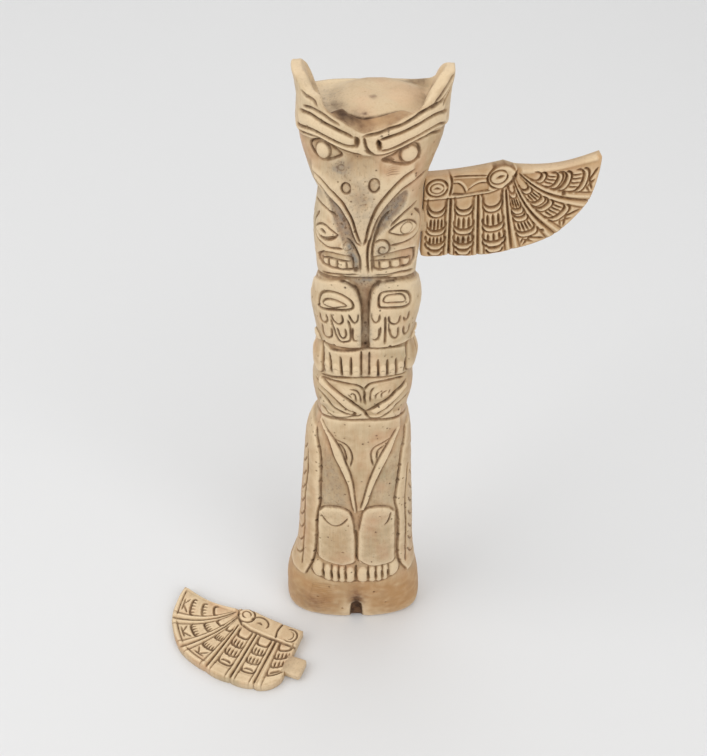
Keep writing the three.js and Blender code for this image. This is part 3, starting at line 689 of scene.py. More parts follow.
@dataclass
class Paws:
    """Two broad paws held to the chest, an eye-shaped oval on each, over rows of scallops."""

    rise: float = 0.95
    channel: float = 1.0

    def carve(self, face: Relief) -> None:
        """Raises the paws, sinks the channel between them and cuts the ovals and scallops.

        Args:
            face: The carved face.
        """
        channel = [(-8, 156.5), (-5, 155.4), (-3.4, 153.6), (-2, 150.5), (-1.2, 147), (-0.8, 140),
                   (-0.7, 131), (1.2, 131), (1.2, 140), (1.5, 146), (2, 150.5), (3.4, 153.6), (5, 155.2),
                   (8, 156.5)]
        face.shift(channel, -self.channel, 0.8, grey=0.35, corners=True)
        face.tint("grey", (0.2, 155), (4.5, 2.4), 0.9)
        face.tint("grey", (0.3, 136), (1.8, 5), 0.8)
        face.tint("rust", (0.3, 146), (1.6, 6), 0.3)
        face.tint("stain_and_shadow", (0.3, 133.2), (1.3, 2.2), 0.8)
        left = [(-22, 148), (-14, 152), (-7.6, 154.8), (-5.4, 154.6), (-3.8, 153.6), (-2.4, 152),
                (-1.6, 149.7), (-1, 146.8), (-0.75, 142.5), (-0.7, 131.3), (-10, 130.6), (-22, 128)]
        right = [(24, 148.5), (16, 151.8), (9.1, 154.6), (5.2, 154.7), (3.3, 153.6), (1.9, 151.4),
                 (1.4, 148.2), (1.25, 145), (1.3, 134), (1.6, 131.2), (10, 130.6), (24, 128)]
        for paw in (left, right):
            face.shift(paw, self.rise, 1.0, corners=True)
            face.cut(paw[2:10], 0.8, 0.55, 1.0)
        ovals = [
            [(-13.9, 144.2), (-13.9, 146.9), (-12.2, 149.1), (-9.7, 150.5), (-7, 150.6), (-4.8, 149.5),
             (-3.5, 148), (-3.4, 146.1), (-5.3, 145.3), (-8.3, 144.8), (-11, 144.1), (-13.1, 143.6)],
            [(4.1, 146.7), (4, 149.8), (4.9, 151.5), (7.8, 151.5), (11.4, 150.3), (13.4, 148.2),
             (13.5, 145.6), (11.4, 145.1), (7.9, 145.8), (5.4, 146.2)],
        ]
        inner = [
            [(-12.1, 145.5), (-11.7, 146.8), (-9.9, 147.9), (-8, 148.1), (-6.3, 147.6), (-5.2, 146.7),
             (-6.8, 146.2), (-9.1, 145.4)],
            [(5.4, 148.2), (5.9, 150), (7.9, 150.3), (10.3, 149.7), (11.6, 148.2), (11.5, 146.9),
             (8.4, 147.6)],
        ]
        for shape in ovals:
            face.cut(shape, 0.95, 0.65, 0.95, closed=True)
        for shape in inner:
            face.cut(shape, 0.75, 0.5, 0.9, closed=True)
            face.shift(shape, 0.25, 0.8)
        self.scallops(face)

    def scallops(self, face: Relief) -> None:
        """Cuts the two rows of hanging loops on each paw.

        Args:
            face: The carved face.
        """
        loops = [
            [(-13.5, 141.5), (-13.3, 139.4), (-12.1, 138.6), (-10.9, 140), (-11.2, 142.3)],
            [(-9.6, 143), (-9.2, 141.2), (-8.1, 140.1), (-7.1, 139.9), (-6.2, 141.2), (-6.5, 143.6)],
            [(-4.5, 144), (-3.9, 142.2), (-2.9, 140.8), (-2, 141.8), (-1.8, 144.4)],
            [(2, 144.6), (2.1, 142.4), (3.1, 141), (4.1, 141.8), (4.3, 144)],
            [(6.9, 143.2), (7.2, 140.8), (8.6, 139.7), (9.9, 140.3), (10.3, 142.6)],
            [(11.3, 141.6), (12, 140), (13, 140.6), (13.2, 142.8)],
            [(-9.8, 141), (-9, 138.2), (-8.2, 135.2), (-6.9, 133.2), (-4.9, 133.5), (-4, 134.6), (-4.1, 139),
             (-4.8, 142)],
            [(-7.8, 138.4), (-7.1, 135.5), (-6.1, 134.5), (-5.3, 135.8), (-5.5, 138.6)],
            [(-12.8, 137.6), (-12.6, 133.8), (-11.2, 133), (-9.6, 134.2), (-9.6, 137.5)],
            [(-3.4, 139), (-3.2, 134.4), (-1.6, 134)],
            [(4.6, 139.4), (4.3, 136), (3.2, 134.3), (2, 135)],
            [(7, 138.6), (7.7, 135.4), (9, 134), (9.8, 135.2), (9.7, 138.4)],
            [(11.4, 138), (11.7, 135), (12.6, 134), (13.6, 135.2), (13.6, 137.6)],
        ]
        for loop in loops:
            face.cut(loop, 0.85, 0.5, 0.9)
        face.cut([(5.9, 143), (6, 138), (5.9, 132.5)], 0.9, 0.6, 0.95)
        face.cut([(7, 141), (7, 137)], 0.6, 0.35, 0.8)
        face.cut([(4.1, 139), (4.1, 134)], 0.6, 0.35, 0.8)
        face.cut([(-13.5, 129.6), (-9.5, 130.4), (-5, 130.2), (-1, 130.6)], 1.0, 0.6, 0.8)
        face.cut([(1.8, 131), (6, 130.6), (11, 130.2), (14, 129.4)], 0.9, 0.45, 0.55)
        for place in ((-8.8, 131), (-4.6, 130.6), (0.3, 131.6), (0.2, 139.5), (7.5, 131.2), (-12.4, 130.4)):
            face.pit(place, 0.55, 0.3)


@dataclass
class Comb:
    """A comb of upright fingers under the paws, with a rounded knob at each end."""

    rise: float = 0.7
    slit_width: float = 0.8

    def carve(self, face: Relief) -> None:
        """Raises the comb and its knobs and cuts the slits between the fingers.

        Args:
            face: The carved face.
        """
        plate = [(-13.6, 129.6), (-10.5, 128.2), (-8, 128.7), (-2.9, 129.7), (2, 130.9), (8.4, 130.2),
                 (12, 129), (13.3, 128), (13, 119), (8, 119.6), (1, 120), (-6, 119.6), (-12.6, 118.8)]
        face.shift(plate, self.rise, 0.9, corners=True)
        knobs = [
            [(-13.6, 130), (-15, 132.3), (-18, 132), (-21, 128), (-22, 122), (-19, 118), (-14.4, 117.8),
             (-13, 121), (-13.4, 126)],
            [(13.4, 125), (14.5, 129), (17, 132.5), (21, 132), (24.5, 127), (24, 120), (20, 117.8),
             (15, 118.6), (13, 121)],
        ]
        for knob in knobs:
            face.shift(knob, 0.8, 2.0, warm=0.5)
            face.cut(knob, 0.7, 0.35, 0.6, closed=True)
        face.cut([(17, 131.6), (19.6, 129), (20.2, 125), (18.5, 121)], 0.8, 0.45, 0.6)
        slits = [(-13.6, 129.5, -12.3, 119.6), (-10.7, 127, -9.8, 120.7), (-7.1, 126.8, -6.6, 119.8),
                 (-3.9, 127.3, -3.9, 120.1), (-0.9, 130.0, -0.9, 120.2), (1.5, 129.6, 1.5, 120.5),
                 (4.1, 126.5, 4.2, 120.1), (6.9, 126, 6.9, 120), (9.6, 125.8, 9.7, 119.4),
                 (13, 124.6, 12.4, 119.4)]
        for top, high, foot, low in slits:
            face.cut([(top, high), ((top + foot) / 2, (high + low) / 2),
                      (foot, low)], self.slit_width, 0.8, 1.0)
            face.tint("stain_and_shadow", (foot, low + 0.6), (0.55, 1.1), 1.0)
        face.cut([(-10.5, 128.2), (-8, 128.7), (-2.9, 129.7), (2, 130.9), (8.4, 130.2),
                  (12, 129)], 0.7, 0.45, 0.8)
        for finger in (-11.6, -8.5, -5.2, -2.3, 3.1, 5.6, 8.3, 11):
            face.swell((finger, 122.2), (1.3, 2.2), 0.35)
            face.cut([(finger - 1, 121.7), (finger, 122.3), (finger + 1, 121.7)], 0.45, 0.2, 0.5)
        ledge = [(-14.5, 116.8), (-11.7, 117.3), (-7.9, 118.3), (-3.3, 119.2), (0.8, 119.4), (4.8, 119.3),
                 (10.2, 118.8), (14, 117.8)]
        face.cut(ledge, 1.1, 0.7, 0.95)
        face.tint("rust", (0.3, 125), (1.5, 7), 0.65)
        face.tint("rust", (-6, 131.6), (5, 1.2), 0.25)


@dataclass
class Arms:
    """Slanting bands that cross over the belly, with nested arcs above them."""

    width: float = 0.95
    depth: float = 0.7

    def carve(self, face: Relief) -> None:
        """Cuts the bands and arcs.

        Args:
            face: The carved face.
        """
        bands = [
            [(-14.5, 115.4), (-12.8, 116), (-9, 116.5), (-5.3, 116.4), (-2.3, 116), (-0.7, 115), (0, 113.6)],
            [(13, 116.4), (10.3, 117.3), (7.2, 117.4), (4.6, 117.3), (2.1, 116.8), (0.8, 115.6), (0.1, 114)],
            [(0, 114), (0.2, 112), (0.1, 110.5), (0.5, 108)],
            [(-13.5, 115.4), (-11.1, 114.3), (-8.2, 112.7), (-5.3, 110.6), (-3.3, 108.6), (-1.7, 107),
             (0, 105.2), (0.9, 103.2), (2, 101.9)],
            [(-18.4, 113.1), (-14.6, 112.7), (-11.3, 111.6), (-8.8, 109.5), (-6.9, 107.2), (-4.9, 105.5),
             (-3.2, 104.8), (-2.6, 104.2), (-3, 103.5), (-4, 103.2)],
            [(-16, 110.2), (-13.7, 109.4), (-11.7, 107.9), (-9.7, 105.7), (-7.5, 104.5), (-5.3, 103.5),
             (-4, 103.2)],
            [(-14, 103.6), (-9.7, 100.8), (-6.1, 101.7), (-3.8, 102.5), (-1.7, 103), (-0.7, 104.2)],
            [(14.5, 114.6), (13.3, 113.7), (10.1, 112.2), (7.6, 109.9), (5, 108.3), (2.2, 106), (0.6, 104.9)],
            [(15, 112.2), (13, 111.2), (11.1, 109.6), (8.8, 107.9), (7, 106.3), (5.2, 105), (4.3, 103.6)],
            [(0.9, 103), (2.3, 101.7), (4.4, 101.5), (6.2, 102.4), (8.4, 104), (10.4, 105.9), (13, 107.1),
             (16, 108)],
        ]
        for band in bands:
            face.cut(band, self.width, self.depth, 0.9)
        arcs = [
            [(-4.3, 114.5), (-2.2, 113.6), (-1.2, 111.5), (-0.9, 108.7)],
            [(-3.8, 113.1), (-2.7, 111.8), (-2.4, 109.1)],
            [(-4.8, 112.4), (-3.8, 110.8)],
            [(3.1, 115.3), (2.1, 113.2), (1.9, 109.1)],
            [(4.7, 113.4), (3.7, 112.1), (3.5, 110.4)],
            [(7, 113.7), (5.5, 112.6), (5.4, 110.9)],
            [(8.1, 113.7), (7.6, 112.2)],
        ]
        for arc in arcs:
            face.cut(arc, 0.7, 0.45, 0.8)
        face.between(bands[3], bands[4], 0.75)
        face.between(bands[5], bands[6], 0.3)
        face.between(bands[7], bands[8], 0.75)
        face.between(bands[8], bands[9], 0.45)
        face.swell((-5, 112.8), (4.5, 2.6), 0.35, -25)
        face.swell((5.6, 113.2), (4.5, 2.8), 0.35, 25)
        ring(face, 101.0, 1.7, 0.9, 0.75)


@dataclass
class BottomFigure:
    """A long tapering face between folded wings, over two shins."""

    shin_rise: float = 0.65
    wing_rise: float = 0.5

    def carve(self, face: Relief) -> None:
        """Cuts the face, then the folded wings beside it, then the shins.

        Args:
            face: The carved face.
        """
        self.long_face(face)
        self.folded_wings(face)
        self.shins(face)

    def long_face(self, face: Relief) -> None:
        """Raises the two edges of the long face and cuts its leaf-shaped eyes.

        Args:
            face: The carved face.
        """
        left_out = [(-15.5, 96), (-14.4, 95), (-11.8, 92.1), (-10.2, 88.4), (-8.9, 84.1), (-6.9, 79.7),
                    (-5, 75), (-3.5, 71), (-2.6, 66.6), (-1.6, 61.5), (-0.8, 58.7)]
        left_in = [(-14.6, 97), (-13.7, 96), (-11.3, 93.8), (-8.5, 90.6), (-6.4, 86.3), (-4.9, 81.8),
                   (-3.2, 77.2), (-1.9, 72.3), (-1.1, 66.8), (-0.3, 61.3), (0, 58)]
        right_out = [(12.6, 95), (11.2, 91.5), (10.2, 88), (9.3, 84.8), (8, 81), (6.1, 74.8), (4.6, 68.8),
                     (3.6, 63.3), (2.4, 60)]
        right_in = [(11, 95), (9.6, 92.4), (8, 89), (6.5, 85.4), (5.1, 81.1), (3.9, 76.3), (3, 71.8),
                    (2, 65.1), (1.2, 60.4)]
        chest = [*left_out, *right_out[::-1], (12.6, 103), (-15, 103)]
        face.shift(chest, 0.35, 1.0, corners=True)
        face.shift([*left_out, *left_in[::-1]], 0.45, 0.8, corners=True)
        face.shift([*right_out, *right_in[::-1]], 0.45, 0.8, corners=True)
        for line in (left_out, left_in, right_out, right_in):
            face.cut(line, 0.8, 0.5, 0.75)
        leaves = [
            [(-8.2, 91.3), (-5.3, 89.7), (-3.6, 87), (-2.8, 83.7), (-3.2, 80.1)],
            [(-7.4, 90), (-5.7, 87.3), (-4.9, 84.4), (-4.6, 82.5)],
            [(9, 91.7), (6.2, 90.1), (4, 88.6), (3.1, 86.2), (3.4, 83.3), (4.2, 80.3)],
            [(7.1, 88.9), (5.3, 87.1), (5, 84.6), (5.2, 82.6)],
        ]
        for leaf in leaves:
            face.cut(leaf, 0.75, 0.5, 0.85)
        grey_left = [(-12.5, 86), (-9.5, 82), (-7, 76), (-5, 70), (-3.6, 64), (-4, 61), (-12.6, 61),
                     (-12.9, 75)]
        face.shift(grey_left, -0.15, 3.0, grey=0.3)
        face.shift([(6, 70), (12, 84), (12.8, 62), (5, 62)], -0.15, 3.0, grey=0.16)

    def folded_wings(self, face: Relief) -> None:
        """Raises the sides outside two long grooves and cuts slanting feathers into them.

        Args:
            face: The carved face.
        """
        left = [(-16.6, 92.5), (-15.8, 89.9), (-14.4, 86.3), (-13.4, 81.7), (-13, 74.5), (-12.9, 68.6),
                (-12.7, 61.2), (-13.4, 56.6), (-13.8, 51.2), (-14, 45.5), (-14.5, 37.8), (-15.4, 31.8),
                (-16.4, 28.5), (-18.8, 22.5)]
        right = [(15.9, 93), (15.3, 89.5), (14.1, 84.8), (13.8, 79.6), (13.6, 72.5), (13.3, 66.4),
                 (13.2, 61.5), (14.2, 57), (14.9, 50.6), (15, 44), (14.9, 37.3), (15.4, 32), (16.7, 28),
                 (18.6, 24.5), (19.4, 23)]
        for line, edge in ((left, -30), (right, 30)):
            side = [*line, (edge, line[-1][1]), (edge, line[0][1])]
            face.shift(side, self.wing_rise, 1.6, warm=0.45, corners=True)
            face.cut(line, 0.9, 0.6, 0.62)
            for z in (86.0, 77.5, 71.0, 63.0, 52.0, 44.5, 36.0, 30.5):
                face.pit((float(np.interp(-z, [-p[1] for p in line], [p[0] for p in line])), z), 0.75, 0.5)
            sign = 1 if edge > 0 else -1
            for feather in range(9):
                high = 84 - 6.2 * feather
                face.cut([(sign * 19.6, high), (sign * 22, high - 4), (sign * 25.5, high - 6)], 0.8, 0.4, 0.4)
        face.cut([(-19.2, 82), (-18.6, 73), (-19.4, 62), (-19.5, 48), (-20, 38), (-20.3, 31),
                  (-20.4, 26.6)], 0.9, 0.5)
        face.cut([(17.7, 76), (17.5, 65.8), (17.7, 57.4), (18.3, 48), (18.5, 34.7), (18.6, 28.5)], 0.9, 0.5)

    def shins(self, face: Relief) -> None:
        """Raises the shins and cuts the knees, the line between the legs and their lower edges.

        Args:
            face: The carved face.
        """
        shins = [
            [(-13.3, 34), (-12.9, 57.5), (-10.9, 60), (-6.3, 60.8), (-3, 59.5), (-1.6, 56.8), (-0.8, 52.5),
             (-0.6, 48), (-0.5, 34), (-1.2, 32.8), (-4.7, 31.4), (-8.1, 31.8), (-11.6, 33.2)],
            [(13.6, 33), (13.2, 57.3), (10.6, 60), (6.8, 61), (3.5, 60.6), (2, 58.6), (1.5, 55), (0.9, 50),
             (0.7, 35), (1.6, 33), (2.9, 32.4), (5.9, 31), (9.4, 31.1), (12, 31.6)],
        ]
        for shin in shins:
            face.shift(shin, self.shin_rise, 1.1, grey=0.08, corners=True)
            face.cut(shin[1:8], 0.8, 0.45, 0.7)
        for centre, strength in (((-7, 44), 0.4), ((7, 40), 0.15), ((-9, 36), 0.4)):
            face.tint("warm", centre, (6, 11), strength)
        lines = [
            [(-12, 56.5), (-11.4, 55.4), (-9.9, 53.3), (-7.6, 51.9), (-5.5, 52.5), (-3.6, 54.8), (-3, 56)],
            [(11.6, 57.6), (11.4, 55.6), (10.8, 53.6), (9.6, 52.1)],
            [(-14.4, 36), (-13.2, 34.4), (-11.6, 33.3), (-8.1, 31.9), (-4.7, 31.4), (-1.6, 32), (-0.2, 33.3)],
            [(1.3, 34.4), (2.9, 32.6), (5.9, 31.1), (9.4, 31.1), (12.5, 31.6), (14.2, 33)],
        ]
        for line in lines:
            face.cut(line, 0.8, 0.5, 0.85)
        face.cut([(-0.2, 49.6), (0, 46), (0.2, 42.7), (0.1, 38), (0.2, 35.4), (0.8, 33.5)], 0.9, 0.9, 0.85)


@dataclass
class Plinth:
    """The smooth foot: a row of toes over it, and a small arched notch in front."""

    toe_rise: float = 0.9
    notch: float = 0.8

    def carve(self, face: Relief) -> None:
        """Swells the toes, cuts between them and sinks the notch.

        Args:
            face: The carved face.
        """
        for toe, middle, half in ((-13.6, 28.2, 2.4), (-10.1, 26.6, 1.7), (-7.4, 26.2, 1.5), (-5, 26, 1.5),
                                  (-2.2, 26, 1.9), (2.4, 26, 2.1), (5.7, 26.2, 1.6), (8.2, 26.5, 1.4),
                                  (10.4, 26.8, 1.4), (13.4, 28.2, 2.4)):
            face.swell((toe, middle), (half, 4.8), self.toe_rise)
        for gap, dark in ((-11.7, 1.0), (-8.7, 1.0), (-6.2, 1.0), (-3.7, 0.6), (4.3, 0.8), (7, 1.0),
                          (9.3, 1.0), (11.5, 0.9)):
            face.cut([(gap, 31), (gap, 28), (gap, 24)], 0.6, 0.55, 0.5 * dark)
            face.cut([(gap - 0.15, 28.2), (gap, 26), (gap + 0.1, 23.6)], 1.1, 0.9, dark)
        face.cut([(0, 31), (-0.2, 27), (0, 22.6)], 1.0, 0.8, 0.6)
        below = [(-17, 27), (-15.4, 24.6), (-12, 23), (-8.9, 22.2), (-5.7, 22), (-2.3, 21.9), (0, 22.3),
                 (1.5, 22.2), (5, 22.1), (8.1, 21.9), (11, 22.6), (14, 24.2), (16.4, 27)]
        face.cut(below, 0.9, 0.5, 0.5)
        arch = [(-2, -1), (-1.9, 5), (-1.6, 8.6), (0.1, 10.2), (1.8, 8.6), (2.1, 5), (2.2, -1)]
        face.shift(arch, -self.notch, 0.8, corners=True)
        face.shift([(-1.6, 3), (-1.5, 8), (0.1, 9.6), (1.6, 8), (1.8, 3)], -1.1, 1.6, corners=True)
        face.shift([(-3, -1), (-3.2, 6), (-2.4, 11), (0, 13.2), (2.4, 11), (3.2, 6), (3, -1)], -0.3, 2.4)
        face.tint("warm", (0.2, 15), (2.6, 5), 1.0)
        face.tint("rust", (0.2, 13), (2.6, 6.5), 1.0)
        face.tint("rust", (0.1, 4), (2.0, 7.5), 1.5)
        face.tint("stain_and_shadow", (0.2, 10.5), (1.9, 4.2), 0.85)
        # Paints the inside of the notch near black: a painted shadow in the hole.
        face.shift([(-1.9, -1), (-1.8, 8), (0.1, 10), (1.9, 8), (2.1, -1)], 0.0, 0.5, stain_and_shadow=2.2)
        face.tint("warm", (-14, 9), (7, 6), 1.0)
        face.tint("rust", (-15, 8), (6, 5), 0.75)
        for streak in range(14):
            low = 3.0 + 1.1 * streak
            face.cut([(-21 + 0.4 * streak, low), (-15, low + 2.2),
                      (-9 + 0.2 * streak, low + 2.6)], 0.5, 0.03, 0.2)
        _, z = np.meshgrid(face.across, face.up)
        face.warm = np.maximum(face.warm, 1.0 - ease(17.0, 27.0, z))
        for place in ((-9.8, 18.5), (-14, 12), (6.5, 16), (11, 9), (-5, 6)):
            face.pit(place, 0.45, 0.3, 0.8)
        lip = 1.0 - ease(0.0, 0.9, z)
        face.level -= 0.7 * lip


# ---- finishes ----


@dataclass(frozen=True)
class BoneFinish:
    """Old carved bone: an ivory ground, honey and grey zones, and dirt left in the cuts.

    The colours are linear. The maps stain_and_shadow, wash_and_shade, grey, warm, rust and edge are float
    attributes of the mesh. The first two hold dirt as well as painted shade and shadow; edge holds rubbed
    wear and a painted highlight.
    """

    name: str
    ground: Triple
    light: Triple
    honey: Triple
    ash: Triple = (0.225, 0.21, 0.185)
    wash_and_shade: Triple = (0.255, 0.135, 0.057)
    rubbed_and_highlight: Triple = (0.76, 0.595, 0.385)
    rose: Triple = (0.53, 0.31, 0.175)
    olive: Triple = (0.39, 0.335, 0.20)
    rust: Triple = (0.17, 0.062, 0.030)
    dirt_and_shadow: Triple = (0.055, 0.025, 0.010)
    wash_and_shade_strength: float = 0.8
    fibre: float = 0.35
    roughness: float = 0.5

    def material(self) -> bpy.types.Material:
        """Builds the material.

        Returns:
            A procedural material: noise in object coordinates, mixed by the mesh's own maps.
        """
        made = bpy.data.materials.new(self.name)
        made.use_nodes = True
        tree = made.node_tree
        shader = tree.nodes["Principled BSDF"]
        place = tree.nodes.new("ShaderNodeTexCoord").outputs["Object"]

        def noise(scale: Sequence[float], detail: float, low: float, high: float) -> Socket:
            """Noise in object coordinates, spread from 0 to 1 between two of its levels.

            Args:
                scale: Waves a metre along each axis.
                detail: Octaves of finer noise.
                low: Level that becomes 0.
                high: Level that becomes 1.

            Returns:
                The noise.
            """
            mapping = tree.nodes.new("ShaderNodeMapping")
            mapping.inputs["Scale"].default_value = scale
            tree.links.new(place, mapping.inputs["Vector"])
            texture = tree.nodes.new("ShaderNodeTexNoise")
            texture.inputs["Scale"].default_value = 1.0
            texture.inputs["Detail"].default_value = detail
            tree.links.new(mapping.outputs[0], texture.inputs["Vector"])
            spread = tree.nodes.new("ShaderNodeMapRange")
            spread.inputs["From Min"].default_value = low
            spread.inputs["From Max"].default_value = high
            tree.links.new(texture.outputs[0], spread.inputs["Value"])
            return spread.outputs[0]

        def painted(name: str) -> Socket:
            """One of the mesh's own maps.

            Args:
                name: Its name.

            Returns:
                Its value.
            """
            node = tree.nodes.new("ShaderNodeAttribute")
            node.attribute_name = name
            return node.outputs["Fac"]

        def maths(kind: str, a: Socket | float, b: Socket | float) -> Socket:
            """A sum or product, held between 0 and 1.

            Args:
                kind: ADD or MULTIPLY.
                a: One side.
                b: The other side.

            Returns:
                The result.
            """
            node = tree.nodes.new("ShaderNodeMath")
            node.operation = kind
            node.use_clamp = True
            for socket, value in zip(node.inputs, (a, b)):
                if isinstance(value, (int, float)):
                    socket.default_value = value
                else:
                    tree.links.new(value, socket)
            return node.outputs[0]

        def mixed(share: Socket, a: Socket | Triple, b: Socket | Triple) -> Socket:
            """Colour a turning into colour b as share goes from 0 to 1.

            Args:
                share: How much of b there is.
                a: One colour.
                b: The other colour.

            Returns:
                The colour between them.
            """
            node = tree.nodes.new("ShaderNodeMix")
            node.data_type = "RGBA"
            tree.links.new(share, node.inputs["Factor"])
            for socket, value in ((node.inputs[6], a), (node.inputs[7], b)):
                if isinstance(value, tuple):
                    socket.default_value = (*value, 1.0)
                else:
                    tree.links.new(value, socket)
            return node.outputs[2]

        def broken(name: str, by: Socket, share: float, rest: float) -> Socket:
            """One of the mesh's own maps, times share times a noise plus rest."""
            return maths("MULTIPLY", painted(name), maths("ADD", maths("MULTIPLY", by, share), rest))

        patches = noise((70, 70, 38), 4.0, 0.38, 0.66)
        fibres = noise((1500, 1500, 110), 3.0, 0.42, 0.72)
        pores = noise((1500, 1500, 1100), 2.0, 0.56, 0.68)
        speckle = noise((620, 620, 620), 5.0, 0.40, 0.62)
        blush = noise((95, 95, 60), 3.0, 0.50, 0.66)
        mould = noise((60, 60, 45), 3.0, 0.53, 0.70)
        colour = mixed(patches, self.ground, self.light)
        colour = mixed(maths("MULTIPLY", blush, 0.7), colour, self.rose)
        colour = mixed(maths("MULTIPLY", mould, 0.6), colour, self.olive)
        colour = mixed(broken("warm", patches, 0.5, 0.55), colour, self.honey)
        colour = mixed(maths("MULTIPLY", fibres, self.fibre), colour, self.honey)
        # Lightens the rises: rubbed wear and a painted highlight.
        colour = mixed(maths("MULTIPLY", painted("edge"), 0.75), colour, self.rubbed_and_highlight)
        colour = mixed(broken("grey", speckle, 0.6, 0.42), colour, self.ash)
        colour = mixed(maths("MULTIPLY", painted("grey"), maths("MULTIPLY", pores, 0.85)), colour, self.dirt_and_shadow)
        # Darkens the hollows and the ground around the cuts: grime and painted shade.
        grime_and_shade = broken("wash_and_shade", speckle, 0.5, 0.55)
        colour = mixed(maths("MULTIPLY", grime_and_shade, self.wash_and_shade_strength), colour, self.wash_and_shade)
        colour = mixed(broken("rust", speckle, 0.5, 0.5), colour, self.rust)
        # Dirt in the cuts, and painted shadow in the plinth's notch and at the right ear's foot.
        colour = mixed(broken("stain_and_shadow", speckle, 0.3, 0.72), colour, self.dirt_and_shadow)
        colour = mixed(maths("MULTIPLY", pores, 0.12), colour, self.wash_and_shade)
        tree.links.new(colour, shader.inputs["Base Color"])
        coarse = maths("ADD", painted("stain_and_shadow"), painted("grey"))
        rough = maths("ADD", maths("MULTIPLY", coarse, 0.25), self.roughness)
        tree.links.new(rough, shader.inputs["Roughness"])
        shader.inputs["Specular IOR Level"].default_value = 0.35
        bump = tree.nodes.new("ShaderNodeBump")
        bump.inputs["Strength"].default_value = 0.35
        bump.inputs["Distance"].default_value = 0.00015
        tree.links.new(maths("ADD", maths("MULTIPLY", fibres, 0.5), maths("MULTIPLY", speckle, 0.5)),
                       bump.inputs["Height"])
        tree.links.new(bump.outputs[0], shader.inputs["Normal"])
        return made


# ---- meshes ----


def mesh_piece(name: str, points: np.ndarray, faces: np.ndarray, maps: Maps,
               finish: BoneFinish, limit: int) -> bpy.types.Object:
    """Makes a closed piece with its painted maps, thinned evenly where it holds too many triangles.

    Args:
        name: Name of the piece.
        points: Vertices in millimetres.
        faces: Quads and triangles, a triangle with its last corner repeated.
        maps: Float maps by name, one value for each vertex.
        finish: The finish that it takes.
        limit: The most triangles that it may have.

    Returns:
        The piece, in place and unturned.
    """
    triangle = faces[:, 2] == faces[:, 3]
    sizes = np.where(triangle, 3, 4)
    keep = np.ones(faces.shape, bool)
    keep[triangle, 3] = False
    mesh = bpy.data.meshes.new(name)
    mesh.vertices.add(len(points))
    mesh.vertices.foreach_set("co", (points * MM).astype(np.float32).ravel())
    mesh.loops.add(int(sizes.sum()))
    mesh.loops.foreach_set("vertex_index", faces[keep].astype(np.int32))
    mesh.polygons.add(len(faces))
    mesh.polygons.foreach_set("loop_start", (np.cumsum(sizes) - sizes).astype(np.int32))
    mesh.update(calc_edges=True)
    for key, values in maps.items():
        mesh.attributes.new(key, "FLOAT", "POINT").data.foreach_set("value", values.astype(np.float32))
    piece = bpy.data.objects.new(name, mesh)
    bpy.context.scene.collection.objects.link(piece)
    triangles = int((sizes - 2).sum())
    if triangles > limit:
        thinner = piece.modifiers.new("thin", "DECIMATE")
        thinner.ratio = limit / triangles
        ready = piece.evaluated_get(bpy.context.evaluated_depsgraph_get())
        piece.data = bpy.data.meshes.new_from_object(ready)
        piece.modifiers.clear()
        piece.data.name = name
    piece.data.polygons.foreach_set("use_smooth", np.ones(len(piece.data.polygons), bool))
    piece.data.materials.clear()
    piece.data.materials.append(finish.material())
    return piece


def strips(rows: int, columns: int, wrap: bool, start: int = 0) -> np.ndarray:
    """Quads of a grid of vertices that are numbered row by row.

    Args:
        rows: Rows of the grid.
        columns: Columns of the grid.
        wrap: Whether the last column joins the first one.
        start: Number of the first vertex.

    Returns:
        The corners of the quads, one array row each.
    """
    across = columns if wrap else columns - 1
    r, c = np.meshgrid(np.arange(rows - 1), np.arange(across), indexing="ij")
    nxt = (c + 1) % columns
    corners = [r * columns + c, r * columns + nxt, (r + 1) * columns + nxt, (r + 1) * columns + c]
    return np.stack(corners, axis=-1).reshape(-1, 4) + start


def painted_maps(face: Relief, softness: float, seed: int) -> Maps:
    """A face's tints made uneven, with grime and painted shade in its hollows, and rubbed wear
    and painted highlights on its rises.

    A hollow is where the blurred height is above the height, and a rise is where it is below.

    Args:
        face: The carved face.
        softness: Blur of the height in cells. A second blur, four times as wide, counts 0.35 as much.
        seed: Seed of the unevenness.

    Returns:
        The maps from 0 to 1, by name.
    """
    rng = np.random.default_rng(seed)
    height = face.height()
    hollow = softened(height, softness) - height + 0.35 * (softened(height, 4 * softness) - height)
    halo = softened(face.stain_and_shadow, 1.6)
    clean = 1.0 - 0.6 * np.clip(face.grey, 0, 1)
    return {
        "stain_and_shadow": np.clip(face.stain_and_shadow * (0.74 + 0.42 * mottling(rng, height.shape, (3, 8))), 0, 1),
        "grey": np.clip(face.grey, 0, 1),
        "warm": np.clip(face.warm + 0.14 * mottling(rng, height.shape, (10, 30)), 0, 1),
        "rust": np.clip(face.rust * (0.8 + 0.3 * mottling(rng, height.shape, (3, 9))), 0, 1),
        # The wash: grime and painted shade, darkest in the hollows and around the cuts.
        "wash_and_shade": np.clip(hollow / HOLLOW_DEPTH + 0.75 * halo
                        + 0.16 * mottling(rng, height.shape, (4, 12, 30)) - 0.06, 0, 1) * clean,
        # The edge map: rubbed wear and a painted highlight, lighter on the rises.
        "edge": np.clip(-hollow / HOLLOW_DEPTH, 0, 1),
    }


